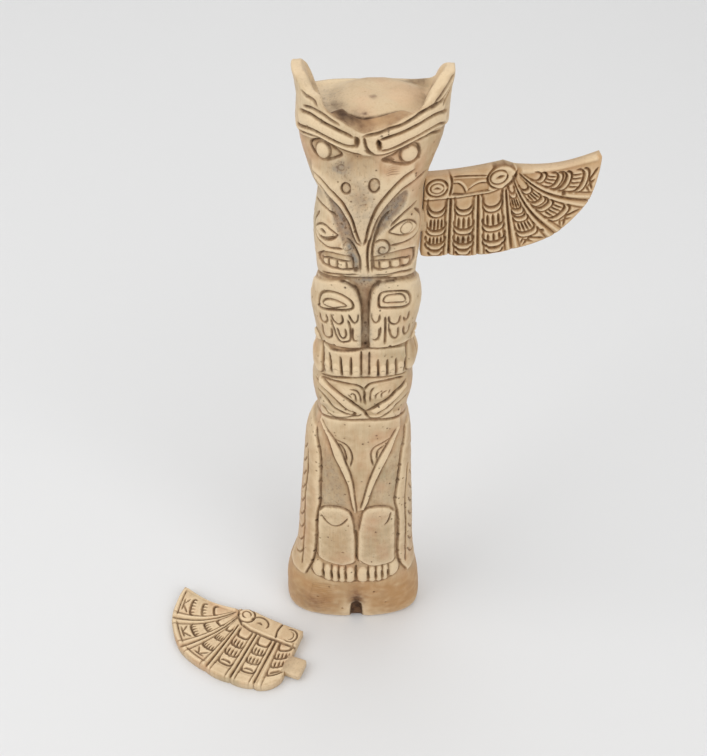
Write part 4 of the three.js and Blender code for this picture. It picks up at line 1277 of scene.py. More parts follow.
@dataclass
class Shaft:
    """The bare bone: a rounded-square section that leans and swells with height.

    A section is the curve |x / a|^n + |y / b|^n = 1 with its own half widths to each side.
    Each of rows holds a height, the ends to the left and right, and the reach to the front and the back.
    """

    squareness: float = 2.6
    flat_reach: float = 30.0
    nominal_half: float = 50.0
    top: float = 217.0
    section_points: int = 481
    rows: Sequence[tuple[float, ...]] = (
        (0, -24.0, 23.8, 12.0, 14.5), (4, -24.6, 24.3, 12.8, 15.0), (12, -24.5, 23.8, 13.2, 15.0),
        (18, -23.6, 22.8, 13.4, 14.8), (24, -21.8, 21.6, 13.4, 14.4), (31, -19.8, 20.8, 13.4, 14.0),
        (52, -18.0, 19.9, 13.2, 13.2), (76, -16.0, 18.8, 12.4, 13.0), (86, -15.1, 18.4, 12.2, 13.0),
        (98, -11.3, 17.0, 12.2, 12.6), (110, -12.9, 18.8, 13.2, 12.6), (116, -11.8, 18.2, 13.2, 12.6),
        (122, -11.9, 19.1, 13.2, 12.6), (128, -10.1, 17.2, 12.8, 12.6), (143, -11.8, 19.4, 13.2, 13.0),
        (150, -10.5, 18.2, 12.8, 13.0), (166, -11.5, 19.1, 13.4, 13.4), (180, -9.9, 19.3, 13.8, 13.8),
        (187, -12.1, 20.8, 14.2, 14.0), (200, -14.7, 24.3, 14.8, 13.8), (208, -14.2, 24.6, 14.6, 13.4),
        (217, -15.4, 26.2, 13.6, 12.4))
    centre_line: Points = ((0, 0.9), (50, 0.9), (105, 3.2), (150, 3.2), (187, 2.0), (217, 2.2))
    rim: Points = (
        (-50, 204.2), (-40, 204.6), (-34, 206), (-30, 210.2), (-27.2, 215.6), (-24.6, 216.4), (-21, 216.2),
        (-18.8, 215.8), (-17.4, 214.4), (-16.2, 213.0), (-14.5, 212.3), (-12.5, 211.9), (-11.4, 210.8),
        (-9.9, 209.2), (-8.7, 208.3), (-7.1, 207.2), (-4.5, 205.9), (-2, 204.2), (0.5, 203.1), (3, 203.8),
        (6, 204.6), (10.5, 206.6), (14, 208.1), (16.5, 209.4), (18.2, 210.8), (20, 212.4), (21.2, 213.5),
        (22.5, 215.1), (24, 215.9), (26.6, 216.3), (29.2, 216.2), (31.4, 214.4), (33.5, 211.2), (37, 206.8),
        (42, 204.8), (50, 204.2))

    def wall(self, height: float, columns: np.ndarray) -> tuple[np.ndarray, np.ndarray]:
        """Points and outward directions of one section at the given nominal places round it.

        Args:
            height: Height over the table.
            columns: Nominal places, kept as arc lengths near the front and stretched behind.

        Returns:
            The points and the unit directions, both as arrays of x and y.
        """
        row = [float(monotone([(r[0], r[k]) for r in self.rows], np.array(height))) for k in (1, 2, 3, 4)]
        centre = float(monotone(self.centre_line, np.array(height)))
        turn = np.linspace(-math.pi, math.pi, self.section_points)
        x, y = np.sin(turn), -np.cos(turn)
        power = 2.0 / self.squareness
        x = centre + np.sign(x) * np.abs(x) ** power * np.where(x > 0, row[1] - centre, centre - row[0])
        y = np.sign(y) * np.abs(y) ** power * np.where(y < 0, row[2], row[3])
        length = np.concatenate([[0.0], np.cumsum(np.hypot(np.diff(x), np.diff(y)))])
        length -= length[self.section_points // 2]
        behind = np.clip((np.abs(columns) - self.flat_reach) / (self.nominal_half - self.flat_reach), 0, 1)
        half = np.where(columns < 0, -length[0], length[-1])
        near = np.minimum(np.abs(columns), self.flat_reach)
        s = np.sign(columns) * (near + behind * (half - self.flat_reach))
        slope_x, slope_y = np.gradient(x, length), np.gradient(y, length)
        normal = np.stack([np.interp(s, length, slope_y), -np.interp(s, length, slope_x)], axis=1)
        normal /= np.linalg.norm(normal, axis=1, keepdims=True)
        return np.stack([np.interp(s, length, x), np.interp(s, length, y)], axis=1), normal


@dataclass
class Pole:
    """The carved pole: the shaft with its tiers of carving, its crown and its two wing slots.

    Rows of points are level up to stretch_from and stretch from there to meet the rim.
    """

    shaft: Shaft = field(default_factory=Shaft)
    pitch: float = 0.25
    row_pitch: float = 0.22
    fine_reach: float = 22.0
    foot_edge: float = 0.12
    stretch_from: float = 196.0
    stretch_rows: int = 72
    table_rows: int = 90
    rim_round: float = 0.9
    rim_drop: float = 0.5
    crown_rings: int = 56
    crown_centre: Point = (3.0, 0.0)
    foot_centre: Point = (0.5, 0.0)
    crease: Points = ((-9, 0.5), (-6.4, -2.2), (-3.7, -5.2), (-1.1, -8.4), (2.7, -10.4), (6, -9.8),
                      (8.9, -8.8), (13.4, -7.1), (15.8, -5.2), (18.1, -0.2))
    cap_pitch: float = 0.25
    cap_corner: float = -30.0
    cap_cells: int = 280
    slot_low: float = 162.4
    slot_high: float = 170.5
    slot_front: float = 0.0
    slot_back: float = 3.9
    slot_floors: Point = (-5.3, 13.6)
    slot_darkening: float = 0.7
    pit_count: int = 260
    grain_seed: int = 7
    wear_seed: int = 3
    crown_seed: int = 11
    hollow_reach: float = 4.0
    triangle_limit: int = 190000

    def face(self) -> Relief:
        """Draws the whole carving on the unrolled shaft.

        Returns:
            The carved face.
        """
        half, count = self.shaft.nominal_half, self.pit_count
        face = Relief(np.arange(-half, half + self.pitch / 2, self.pitch),
                      np.arange(0.0, self.shaft.top + 1.0, self.row_pitch), broad=1.25, deep=1.3)
        tiers = (Beak(), Brow(), UpperEyes(), SecondFace(), Paws(), Comb(), Arms(), BottomFigure(), Plinth())
        for tier in tiers:
            tier.carve(face)
        ring(face, 156.0, 1.8, 0.7, 0.5)
        rng = np.random.default_rng(self.grain_seed)
        around, heights = rng.uniform(-24, 24, count), rng.uniform(22, 204, count)
        for s, z, size in zip(around, heights, rng.uniform(0.2, 0.42, count)):
            face.pit((s, z), size, 0.2, 0.95)
        face.level += 0.07 * mottling(rng, face.level.shape, (10, 26)) - 0.02
        face.level += 0.035 * mottling(rng, face.level.shape, (3,))
        return face

    def columns(self) -> np.ndarray:
        """Places the mesh's columns, close in front and wider apart behind.

        Returns:
            Their nominal places round the shaft.
        """
        front = np.arange(-self.fine_reach, self.fine_reach + 0.01, self.pitch)
        side = np.arange(22.5, 30.01, 0.5)
        back = np.arange(31.0, self.shaft.nominal_half, 1.0)
        return np.concatenate([[-self.shaft.nominal_half], -back[::-1], -side[::-1], front, side, back])

    def crown(self, x: np.ndarray, y: np.ndarray) -> np.ndarray:
        """Height well inside the crown's rim: a lens-shaped dome with a hollow beside the left ear.

        Args:
            x: Places to the right.
            y: Places to the back.

        Returns:
            The heights.
        """
        r = ((x - 6.2) / 13.2) ** 2 + ((y - 1.8) / 12.2) ** 2
        z = 205.4 + 1.9 * ease(-0.15, 0.85, 1.0 - r) - 1.2 * ease(4.0, 13.0, y)
        return z - 1.1 * np.exp(-((x + 6.8) / 3.2) ** 2 - ((y - 4.5) / 5.0) ** 2)

    def walls(self, columns: np.ndarray, rim: np.ndarray) -> tuple[np.ndarray, np.ndarray, np.ndarray]:
        """Rows of the bare wall: level ones up to stretch_from, then ones that stretch to meet the rim.

        Args:
            columns: Nominal places round the shaft.
            rim: Height of the rim at each of them.

        Returns:
            Row by row, the points in x and y, their outward directions, and their heights.
        """
        low = np.arange(0.0, self.stretch_from, self.row_pitch)
        low[1] = self.foot_edge
        rows = [(*self.shaft.wall(float(z), columns), np.full(len(columns), z)) for z in low]
        levels = np.linspace(self.stretch_from, self.shaft.top, self.table_rows)
        table = [self.shaft.wall(float(z), columns) for z in levels]
        at_table, out_table = (np.stack(part) for part in zip(*table))
        column = np.arange(len(columns))
        for share in np.linspace(0.0, 1.0, self.stretch_rows):
            z = self.stretch_from + share * (rim - self.stretch_from)
            k = (z - self.stretch_from) / (self.shaft.top - self.stretch_from) * (len(levels) - 1)
            k0 = np.minimum(k.astype(int), len(levels) - 2)
            t = (k - k0)[:, None]
            at = at_table[k0, column] * (1 - t) + at_table[k0 + 1, column] * t
            out = out_table[k0, column] * (1 - t) + out_table[k0 + 1, column] * t
            rows.append((at, out, z))
        at, out, z = (np.stack(part) for part in zip(*rows))
        return at, out, z

    def build(self) -> bpy.types.Object:
        """Builds the pole.

        Returns:
            The closed piece with its maps.
        """
        face = self.face()
        maps = painted_maps(face, self.hollow_reach, self.wear_seed)
        columns = self.columns()
        rim = monotone(self.shaft.rim, columns)
        at, out, z = self.walls(columns, rim)
        s = np.broadcast_to(columns, z.shape)
        row, col = z / self.row_pitch, (s + self.shaft.nominal_half) / self.pitch
        lift = sampled(face.height(), row, col)
        near_rim = np.clip(1.0 - (rim[None, :] - z) / self.rim_round, 0, 1)
        lift = lift - self.rim_drop * (1.0 - np.sqrt(1.0 - near_rim**2))
        xy = at + out * lift[..., None]
        beside = (at[..., 1] > self.slot_front) & (at[..., 1] < self.slot_back)
        inside = (z > self.slot_low) & (z < self.slot_high) & beside
        right = inside & (at[..., 0] > self.crown_centre[0])
        left = inside & ~right
        xy[..., 0] = np.where(right, self.slot_floors[1], np.where(left, self.slot_floors[0], xy[..., 0]))
        painted = {key: sampled(value, row, col) for key, value in maps.items()}
        # Colours the walls of the wing slots dark.
        painted["stain_and_shadow"] = np.where(inside, self.slot_darkening, painted["stain_and_shadow"])
        wall = np.concatenate([xy, z[..., None]], axis=-1)
        cap, cap_maps = self.cap(wall[-1], columns)
        count, rows = len(columns), len(wall) + self.crown_rings
        points = np.concatenate([wall.reshape(-1, 3), cap])
        top, foot = np.full(count, len(points)), np.full(count, len(points) + 1)
        top_z = float(self.crown(np.array([self.crown_centre[0]]), np.array([0.0]))[0])
        points = np.concatenate([points, [[*self.crown_centre, top_z], [*self.foot_centre, 0.0]]])
        here = np.arange(count)
        after = (here + 1) % count
        last = (rows - 1) * count
        lid = np.stack([last + here, last + after, top, top], axis=1)
        base = np.stack([after, here, foot, foot], axis=1)
        faces = np.concatenate([strips(rows, count, True), lid, base])
        full = {key: np.concatenate([painted[key].ravel(), cap_maps[key], [0.0, 0.0]]) for key in painted}
        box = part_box("pole")
        points = np.clip(points, np.array(box[0]) / MM, np.array(box[1]) / MM)
        finish = BoneFinish("pole_bone_old", (0.455, 0.325, 0.185), (0.60, 0.465, 0.29), (0.42, 0.23, 0.09))
        return mesh_piece("pole_carved", points, faces, full, finish, self.triangle_limit)

    def cap(self, rim: np.ndarray, columns: np.ndarray) -> tuple[np.ndarray, Maps]:
        """The crown inside the rim, as rings that shrink to its middle, and its maps.

        Args:
            rim: The rim's points.
            columns: Their nominal places round the shaft.

        Returns:
            The points of the rings, and the maps at them.
        """
        share = (np.arange(1, self.crown_rings + 1) / (self.crown_rings + 1))[:, None] ** 1.25
        centre = np.array(self.crown_centre)
        arm = rim[:, :2] - centre
        reach = np.hypot(arm[:, 0], arm[:, 1])[None, :]
        x = centre[0] + arm[None, :, 0] * (1 - share)
        y = centre[1] + arm[None, :, 1] * (1 - share)
        inward = share * reach
        ear = ease(209.5, 213.5, rim[:, 2])
        front = ease(-12.0, -8.5, columns) * (1.0 - ease(14.0, 18.0, columns))
        crease = monotone(self.crease, x)
        to_crease = np.clip((crease - y) / np.maximum(crease - rim[None, :, 1], 0.5), 0, 1)
        edge_height = self.crown(x, np.maximum(y, crease))
        step = 0.25 + 0.65 * ease(2.0, 9.0, np.abs(columns - 1.0))
        slope = edge_height + (rim[None, :, 2] - step - edge_height) * to_crease**0.8
        bar, fall = 0.9 + 1.1 * ear, 2.6 + 3.6 * ear
        drop = ease(0.0, 1.0, (inward - bar) / (fall - bar))
        behind = rim[None, :, 2] * (1 - drop) + self.crown(x, y) * drop
        lip = ease(0.7, 1.5, inward)
        ahead = rim[None, :, 2] * (1 - lip) + slope * lip
        z = behind + (ahead - behind) * front * (to_crease > 0)
        rng = np.random.default_rng(self.crown_seed)
        row, col = (y - self.cap_corner) / self.cap_pitch, (x - self.cap_corner) / self.cap_pitch
        shape = (self.cap_cells, self.cap_cells)
        rough, fine, spots = (sampled(mottling(rng, shape, radii), row, col) for radii in ((10, 26),
                                                                                           (3, 5), (2, 3)))
        z = z + (0.16 * rough + 0.05 * fine) * ease(0.3, 2.0, inward)
        # The forward slope under the crease, which the maps below paint darker and warmer as painted shade.
        shaded_slope = front * ease(0.02, 0.12, to_crease)
        line = np.exp(-((to_crease - 0.07) / 0.06) ** 2) * front * (to_crease > 0)
        z = z - 0.3 * line

        def patch(at: Point, radii: Point) -> np.ndarray:
            """A soft oval patch on the crown, the bell exp(-r^2) at each of its points."""
            return np.exp(-(((x - at[0]) / radii[0]) ** 2) - ((y - at[1]) / radii[1]) ** 2)

        hollow = patch((-7.6, 1.5), (4.4, 9.0))
        porous = np.maximum(patch((-5.4, -6.4), (3.0, 3.4)), patch((-1.8, -10.4), (3.6, 2.8)))
        porous = 1.5 * porous * np.clip(0.75 + 0.5 * fine, 0, 1) * (0.35 + 0.65 * shaded_slope)
        # A painted shadow at the foot of the right ear, below the back rim: darker and warmer there.
        ear_foot_shadow = patch((16.5, 9.0), (3.4, 3.0)) + 0.6 * patch((18.6, 0.0), (1.6, 6.0))
        blotch = patch((4.5, 7.5), (4.2, 2.6)) + patch((11.5, 2.5), (4.0, 2.2)) + 0.8 * patch((-0.5, 4.5),
                       (1.2, 3.5))
        pits = np.clip(1.3 * spots - 1.9, 0, 1) + patch((5.2, -3.0), (0.6, 0.9)) + patch((2.9, -9.4),
                                                        (0.6, 0.5))
        ribbon = np.exp(-(((inward - 0.75 * fall) / 0.35) ** 2)) * ear
        # The warm and wash maps darken the forward slope, a warm tint and painted shade; the edge map
        # lightens the rim, the lens top and the hollow, a painted highlight.
        maps = {
            "stain_and_shadow": line * (0.75 + 0.4 * fine) + 0.75 * pits + 0.9 * porous
                     + 0.7 * ear_foot_shadow * np.clip(0.5 + fine, 0, 1) + 0.35 * ribbon,
            "grey": 0.34 * hollow + 0.6 * porous + 0.06 * rough,
            "warm": 0.95 * shaded_slope * (0.8 + 0.25 * rough) + 0.6 * ear_foot_shadow + 0.3 * blotch + 0.25 * ear,
            "wash_and_shade": 0.62 * shaded_slope * (0.75 + 0.5 * fine) + 0.8 * porous + 0.5 * line + 0.5 * ear_foot_shadow
                    + 0.34 * blotch * (0.7 + 0.5 * fine) + 0.12 * np.clip(rough, 0, 1),
            "rust": 0.8 * pits + 0.25 * shaded_slope * np.clip(fine, 0, 1),
            "edge": 0.4 * (1 - drop) + 0.55 * (1 - shaded_slope) + 0.6 * hollow,
        }
        points = np.stack([x, y, z], axis=-1).reshape(-1, 3)
        return points, {key: np.clip(value, 0, 1).ravel() for key, value in maps.items()}


class WingKind(Enum):
    """Which of the two wings a piece is."""

    FITTED = "fitted_wing"
    LOOSE = "loose_wing"


@dataclass
class WingPlan:
    """A wing's outline and the fan of its feathers.

    A point is found from c, which runs from the root to the tip feather, and t, which runs down a feather.
    Between feathers the fan's lines bow by sin(pi t), and each feather ends in an arch whose height over its
    chord goes as the square root of sin(pi p), with p running along the chord.
    """

    root_bottom: Point = (-0.2, -26.3)
    shoulder: Point = (22.3, 2.4)
    shoulder_notch: Point = (25.8, 1.0)
    tip: Point = (49.4, 3.7)
    feather_ends: Points = ((7.9, -26.5), (16.6, -27.2), (26.6, -26.0), (39.0, -21.6), (47.6, -10.8))
    bulge: float = 0.9
    root_bulge: float = 0.9
    bows: Sequence[float] = (0.0, 0.0, 0.0, 0.3, 2.3, 3.0, 1.75)

    def point(self, c: np.ndarray, t: np.ndarray) -> tuple[np.ndarray, np.ndarray]:
        """Places along the span and up the wing, in millimetres from its root corner.

        Args:
            c: Places across the feathers, from 0 to 1.
            t: Places down them, from 0 to 1.

        Returns:
            The two coordinates.
        """
        ends = np.array([self.root_bottom, *self.feather_ends, self.tip])
        feathers = len(ends) - 1
        place = np.asarray(c, float) * feathers
        feather = np.clip(np.floor(place).astype(int), 0, feathers - 1)
        part = place - feather
        a, b = ends[feather], ends[feather + 1]
        chord = np.hypot(*np.moveaxis(b - a, -1, 0))
        bulge = np.where(feather == 0, self.root_bulge, self.bulge)
        bulge = bulge * np.sqrt(np.clip(np.sin(np.pi * part), 0, 1))
        end_u = a[..., 0] + (b - a)[..., 0] * part + bulge * (b - a)[..., 1] / chord
        end_v = a[..., 1] + (b - a)[..., 1] * part - bulge * (b - a)[..., 0] / chord
        half = feathers / 2
        near, past = np.minimum(1.0, place / half), np.clip((place - half) / half, 0, 1)
        start_u = self.shoulder[0] * near + (self.shoulder_notch[0] - self.shoulder[0]) * past
        start_v = self.shoulder[1] * near**2 + (self.shoulder_notch[1] - self.shoulder[1]) * past
        run_u, run_v = end_u - start_u, end_v - start_v
        length = np.hypot(run_u, run_v)
        bow = np.interp(place, np.arange(feathers + 1), self.bows) * np.sin(np.pi * np.clip(t, 0, 1))
        return start_u + run_u * t + bow * run_v / length, start_v + run_v * t - bow * run_u / length

    def line(self, cells: Points) -> list[Point]:
        """Places along the span and up the wing of a line given in c, counted in feathers, and t."""
        c, t = np.asarray(cells, float).T
        return list(zip(*self.point(c / (len(self.feather_ends) + 1), t)))


@dataclass
class Wing:
    """A flat bone wing with a carved face, and the tab that plugs it into the pole.

    Attributes:
        kind: Which wing it is.
        root: Its root corner in the frame, in millimetres.
        span: Direction from root to tip.
        up: Direction up the wing's face.
        out: Direction that the carved face looks in.
        plan: Its outline and the fan of its feathers.
        easing: How far its edges are rounded off, from edge_reach inside the outline.
        peak: Highest point of the relief.
        tab: The tab's ends along the span, and its lower and upper side.
        sunk: How far the panels lie below the ribs.
        rib: Half of the gap between the two ribs beside a groove, in feathers.
    """

    kind: WingKind
    root: Triple
    span: Triple
    up: Triple
    out: Triple
    plan: WingPlan = field(default_factory=WingPlan)
    thickness: float = 3.8
    easing: float = 0.5
    edge_reach: float = 0.9
    peak: float = 0.45
    columns: int = 330
    rows: int = 150
    pitch: float = 0.1
    low_corner: Point = (-1.5, -30.0)
    high_corner: Point = (52.0, 6.0)
    tab: tuple[float, float, float, float] = (-6.0, 1.0, -18.3, -10.8)
    tab_thickness: float = 3.0
    tab_squareness: float = 5.0
    tab_sides: int = 48
    sunk: float = 0.35
    rib: float = 0.1
    warmth: float = 0.2
    grain_seed: int = 22
    wear_seed: int = 5
    hollow_reach: float = 6.0
    triangle_limit: int = 160000

    def face(self) -> Relief:
        """Draws the wing's carving: sunk panels between raised ribs, under a raised bar.

        Returns:
            The carved face.
        """
        reaches = zip(self.low_corner, self.high_corner)
        across, up = (np.arange(low, high, self.pitch) for low, high in reaches)
        face = Relief(across, up, broad=1.15, deep=1.2)
        face.level -= self.sunk
        bar = [(-2, 6), (25.6, 6), (25.8, 0.6), (24.4, -2.6), (22.2, -4.9), (18.4, -6.3), (10, -7.2),
               (-2, -7.7)]
        face.shift(bar, self.sunk + 0.15, 0.7, corners=True)
        face.ridge([(26.4, 0.4), (30, 0.2), (37.4, 0.9), (44, 2.2), (49, 3.4)], 2.2, self.sunk + 0.1)
        for k in (1, 2, 3, 4, 5):
            start = 0.27 if k < 4 else 0.10
            for side in (-self.rib, self.rib):
                rib = [(k + side, t) for t in np.linspace(start, 1.0, 12)]
                face.ridge(self.plan.line(rib), 1.0, self.sunk + 0.1)
                outer = [(k + 1.9 * side, t) for t in np.linspace(start + 0.02, 1.0, 12)]
                face.cut(self.plan.line(outer), 0.7, 0.3, 0.5)
            face.cut(self.plan.line([(k, t) for t in np.linspace(start, 1.0, 12)]), 0.85, 0.65, 0.8)
        face.cut(bar[2:], 0.9, 0.55, 0.85, corners=True)
        face.ridge([(-1, -7), (9, -6.6), (18, -5.6), (22.6, -3.9)], 1.3, 0.3)
        if self.kind is WingKind.FITTED:
            self.fitted_pattern(face)
        else:
            self.loose_pattern(face)
        rng = np.random.default_rng(self.grain_seed)
        face.level += 0.05 * mottling(rng, face.level.shape, (8, 24))
        face.tint("warm", (20, -10), (40, 40), self.warmth)
        return face

    def scallop(self, face: Relief, feather: float, low: float, width: float = 0.64,
                drop: float = 0.11) -> None:
        """Cuts a U across a feather: one cut on the loose wing, a raised band between two on the fitted one.

        Args:
            face: The carved face.
            feather: The feather, counted from the root.
            low: How far down the feather the U's foot lies.
            width: Width of the U, in feathers.
            drop: How far up the feather its arms reach from the foot.
        """
        a, b = feather + 0.5 - width / 2, feather + 0.5 + width / 2
        bowl = [(a, -drop), (a + 0.03, -0.42 * drop), (a + 0.22 * width, -0.09 * drop), ((a + b) / 2, 0.0),
                (b - 0.22 * width, -0.09 * drop), (b - 0.03, -0.42 * drop), (b, -drop)]
        if self.kind is WingKind.LOOSE:
            square = [(a, -drop), (a, -0.45 * drop), (a + 0.09, -0.05 * drop), ((a + b) / 2, 0.0),
                      (b - 0.09, -0.05 * drop), (b, -0.45 * drop), (b, -drop)]
            face.cut(self.plan.line([(c, low + t) for c, t in square]), 1.1, 0.65, 0.6)
            return
        for shift, raised in ((-0.03, False), (0.0, True), (0.03, False)):
            line = self.plan.line([(c, low + t + shift) for c, t in bowl])
            if raised:
                face.ridge(line, 1.15, self.sunk + 0.12)
            else:
                face.cut(line, 0.95, 0.55, 0.75)

    def fingers(self, face: Relief, feather: float, high: float, low: float, count: int,
                width: float = 0.5) -> None:
        """Cuts short slots side by side down a feather, the middle ones a little longer, with ridges between.

        Args:
            face: The carved face.
            feather: The feather, counted from the root.
            high: How far down the feather they start.
            low: How far down it they end.
            count: How many there are.
            width: Width of the whole row, in feathers.
        """
        for k in range(count):
            c = feather + 0.5 + width * ((k + 0.5) / count - 0.5)
            longer = 0.03 * (1.0 - (2.0 * (k + 0.5) / count - 1.0) ** 2)
            beside = c + width / count / 2
            face.cut(self.plan.line([(c, high), (c, (high + low) / 2), (c, low + longer)]), 0.85, 0.6, 0.8)
            face.ridge(self.plan.line([(beside, high), (beside, low)]), 0.6, 0.3)

    def fitted_pattern(self, face: Relief) -> None:
        """Cuts ovals and arches on the bar, scallops on three feathers and hatching on the fan.

        Args:
            face: The carved face.
        """
        face.swell((3.4, -3.65), (2.8, 2.6), 0.3)
        face.cut(oval((3.4, -3.65), (3.0, 2.75)), 0.8, 0.55, 0.85, corners=True)
        face.cut(oval((3.4, -3.65), (1.9, 1.6)), 0.6, 0.4, 0.7, corners=True)
        face.cut([(2.5, -3.7), (3.4, -3.5), (4.3, -3.8)], 1.0, 0.5, 1.0)
        face.cut([(6.9, 0.4), (7.5, -1.5), (7.5, -4), (7.0, -6.6)], 0.9, 0.6, 0.85)
        face.cut([(7.6, -0.3), (12, -0.2), (17.5, -0.4)], 0.7, 0.45, 0.8)
        panel = [(8, -0.9), (17.5, -1), (18.4, -3), (18, -5.3), (13, -6), (8, -6)]
        face.shift(panel, -0.4, 0.6, corners=True)
        for arch in ([(7.6, -2), (9.6, -1.9), (11.2, -3.4), (12, -5.6)],
                     [(12.4, -4.6), (14, -2.8), (16, -2), (18, -2.3)]):
            face.ridge(arch, 1.0, 0.45)
            face.cut([(s - 0.25, z - 0.7) for s, z in arch], 0.6, 0.4, 0.8)
        face.cut([(7.4, -5.9), (12, -6.1), (19, -5.2)], 0.7, 0.45, 0.85)
        face.swell((21.6, -1.2), (4.3, 3.8), 0.35, 25)
        face.cut(oval((21.6, -1.2), (4.1, 3.6), 25), 0.85, 0.55, 0.85, corners=True)
        face.cut(oval((20.7, -1.1), (2.5, 2.1), 30), 0.7, 0.45, 0.8, corners=True)
        face.cut([(20.1, -1.3), (21.1, -0.9), (22, -0.6)], 1.2, 0.55, 1.0)
        for feather in range(3):
            for low in (0.47, 0.70, 0.88):
                self.scallop(face, feather, low, 0.74, 0.19 if low < 0.5 else 0.12)
            self.scallop(face, feather, 0.955, 0.5, 0.07)
            self.fingers(face, feather, 0.52, 0.645, 4 - (feather > 0), 0.54)
            self.fingers(face, feather, 0.745, 0.835, 4 - (feather > 0), 0.54)
        for cell, radii in (((1.45, 0.80), (1.7, 1.5)), ((1.7, 0.74), (1.0, 1.2))):
            face.tint("stain_and_shadow", self.plan.line([cell])[0], radii, 1.0)
        for feather in (3, 4, 5):
            for low in (0.36, 0.56, 0.66, 0.86):
                self.scallop(face, feather, low, 0.64, 0.11)
            self.fingers(face, feather, 0.39, 0.49, 3, 0.42)
            self.fingers(face, feather, 0.69, 0.79, 4, 0.46)
            for a, b in (((0.26, 0.97), (0.6, 0.885)), ((0.42, 0.9), (0.76, 0.97)),
                         ((0.3, 0.91), (0.5, 0.965)), ((0.22, 0.95), (0.34, 0.89))):
                face.cut(self.plan.line([(feather + a[0], a[1]), (feather + b[0], b[1])]), 0.85, 0.6, 0.75)
        for place in ((40.0, -8.0), (35.0, -20.0)):
            face.pit(place, 0.8, 0.5)

    def loose_pattern(self, face: Relief) -> None:
        """Cuts arcs on the bar, squarer scallops that stop short of the feather ends, and the fan's border.

        Args:
            face: The carved face.
        """
        face.cut(oval((3.6, -3.6), (2.6, 2.7), 0, 60, 300), 0.85, 0.5, 0.85, corners=True)
        face.cut(oval((3.6, -3.6), (1.3, 1.7), 0, 80, 280), 0.6, 0.35, 0.7, corners=True)
        face.cut([(7.8, 0.6), (8.6, -3), (8.0, -6.8)], 0.9, 0.55, 0.85)
        face.cut(oval((16, -2.5), (3.4, 2.6), 8, -10, 200), 0.85, 0.5, 0.85, corners=True)
        face.cut([(15, -2.9), (16, -2.4), (17, -2.6)], 1.0, 0.5, 1.0)
        face.swell((22, -0.9), (3.4, 3.0), 0.35, 20)
        face.cut(oval((22, -0.9), (3.3, 2.9), 20), 0.85, 0.55, 0.85, corners=True)
        face.cut(oval((22, -0.7), (1.7, 1.4), 20, -120, 170), 0.7, 0.45, 0.85, corners=True)
        for feather in range(3):
            for low in (0.405, 0.545, 0.69, 0.83):
                self.scallop(face, feather, low, 0.6, 0.075 if low > 0.5 else 0.12)
            self.fingers(face, feather, 0.45, 0.545, 3, 0.48)
            self.fingers(face, feather, 0.595, 0.69, 3, 0.48)
            self.scallop(face, feather, 0.775, 0.36, -0.03)
            end = [(feather + c, t) for c, t in ((0.1, 0.89), (0.9, 0.89), (0.9, 1.0), (0.1, 1.0))]
            face.shift(self.plan.line(end), self.sunk, 1.0, corners=True)
        for feather in (3, 4, 5):
            for low in (0.40, 0.58, 0.76):
                self.scallop(face, feather, low, 0.6, 0.07)
            self.fingers(face, feather, 0.51, 0.575, 3, 0.45)
            self.fingers(face, feather, 0.69, 0.755, 4, 0.5)
            for a, b in (((0.25, 0.80), (0.5, 0.885)), ((0.75, 0.80), (0.5, 0.885)),
                         ((0.3, 0.885), (0.7, 0.885))):
                face.cut(self.plan.line([(feather + a[0], a[1]), (feather + b[0], b[1])]), 0.8, 0.5, 0.7)
            border = [(feather + 0.08, 0.935), (feather + 0.5, 0.925), (feather + 0.92, 0.935)]
            face.cut(self.plan.line(border), 0.6, 0.35, 0.55)
            rim = [(feather + c, 0.965) for c in (0.02, 0.5, 0.98)]
            face.ridge(self.plan.line(rim), 1.6, self.sunk + 0.05)

    def build(self) -> bpy.types.Object:
        """Builds the wing.

        Returns:
            The closed piece with its maps, stood in its place.
        """
        face = self.face()
        maps = painted_maps(face, self.hollow_reach, self.wear_seed)
        c, t = np.meshgrid(np.linspace(0, 1, self.columns), np.linspace(0, 1, self.rows), indexing="ij")
        spread = 0.5 - 0.5 * np.cos(np.pi * t)
        t = 0.75 * t + 0.25 * spread
        u, v = self.plan.point(c, t)
        row, col = (v - face.up[0]) / self.pitch, (u - face.across[0]) / self.pitch
        bare = 1.0 - np.clip(self.edge_gap(u, v) / self.edge_reach, 0, 1)
        rounding = self.easing * (1.0 - np.sqrt(np.clip(1.0 - bare**2, 0, 1)))
        w = np.minimum(sampled(face.height(), row, col), self.peak) - rounding
        front = np.stack([u, v, w], axis=-1)
        back = np.stack([u, v, rounding * 0.6 - self.thickness], axis=-1)
        count = self.columns * self.rows
        faces_front = strips(self.columns, self.rows, False)
        faces_back = strips(self.columns, self.rows, False, count)[:, ::-1]
        at = np.arange(count).reshape(self.columns, self.rows)
        rim = np.concatenate([at[0, :-1], at[:-1, -1], at[-1, :0:-1], at[:0:-1, 0]])
        nxt = np.roll(rim, -1)
        wall = np.stack([rim, rim + count, nxt + count, nxt], axis=1)
        points = np.concatenate([front.reshape(-1, 3), back.reshape(-1, 3)])
        tab_points, tab_faces = self.tab_box(len(points))
        points = np.concatenate([points, tab_points])
        faces = np.concatenate([faces_front, faces_back, wall, tab_faces])
        painted = {key: sampled(value, row, col).ravel() for key, value in maps.items()}
        plain = {"stain_and_shadow": 0.0, "grey": 0.1, "warm": 0.1, "rust": 0.0, "wash_and_shade": 0.1, "edge": 0.5}
        rest = count + len(tab_points)
        full = {key: np.concatenate([painted[key], np.full(rest, plain[key])]) for key in painted}
        basis = np.array([self.span, self.up, self.out])
        world = np.array(self.root) + points @ basis
        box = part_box(self.kind.value)
        world = np.clip(world, np.array(box[0]) / MM, np.array(box[1]) / MM)
        if np.linalg.det(basis) < 0:
            faces = np.where((faces[:, 2] == faces[:, 3])[:, None], faces[:, [1, 0, 2, 2]], faces[:, ::-1])
        if self.kind is WingKind.FITTED:
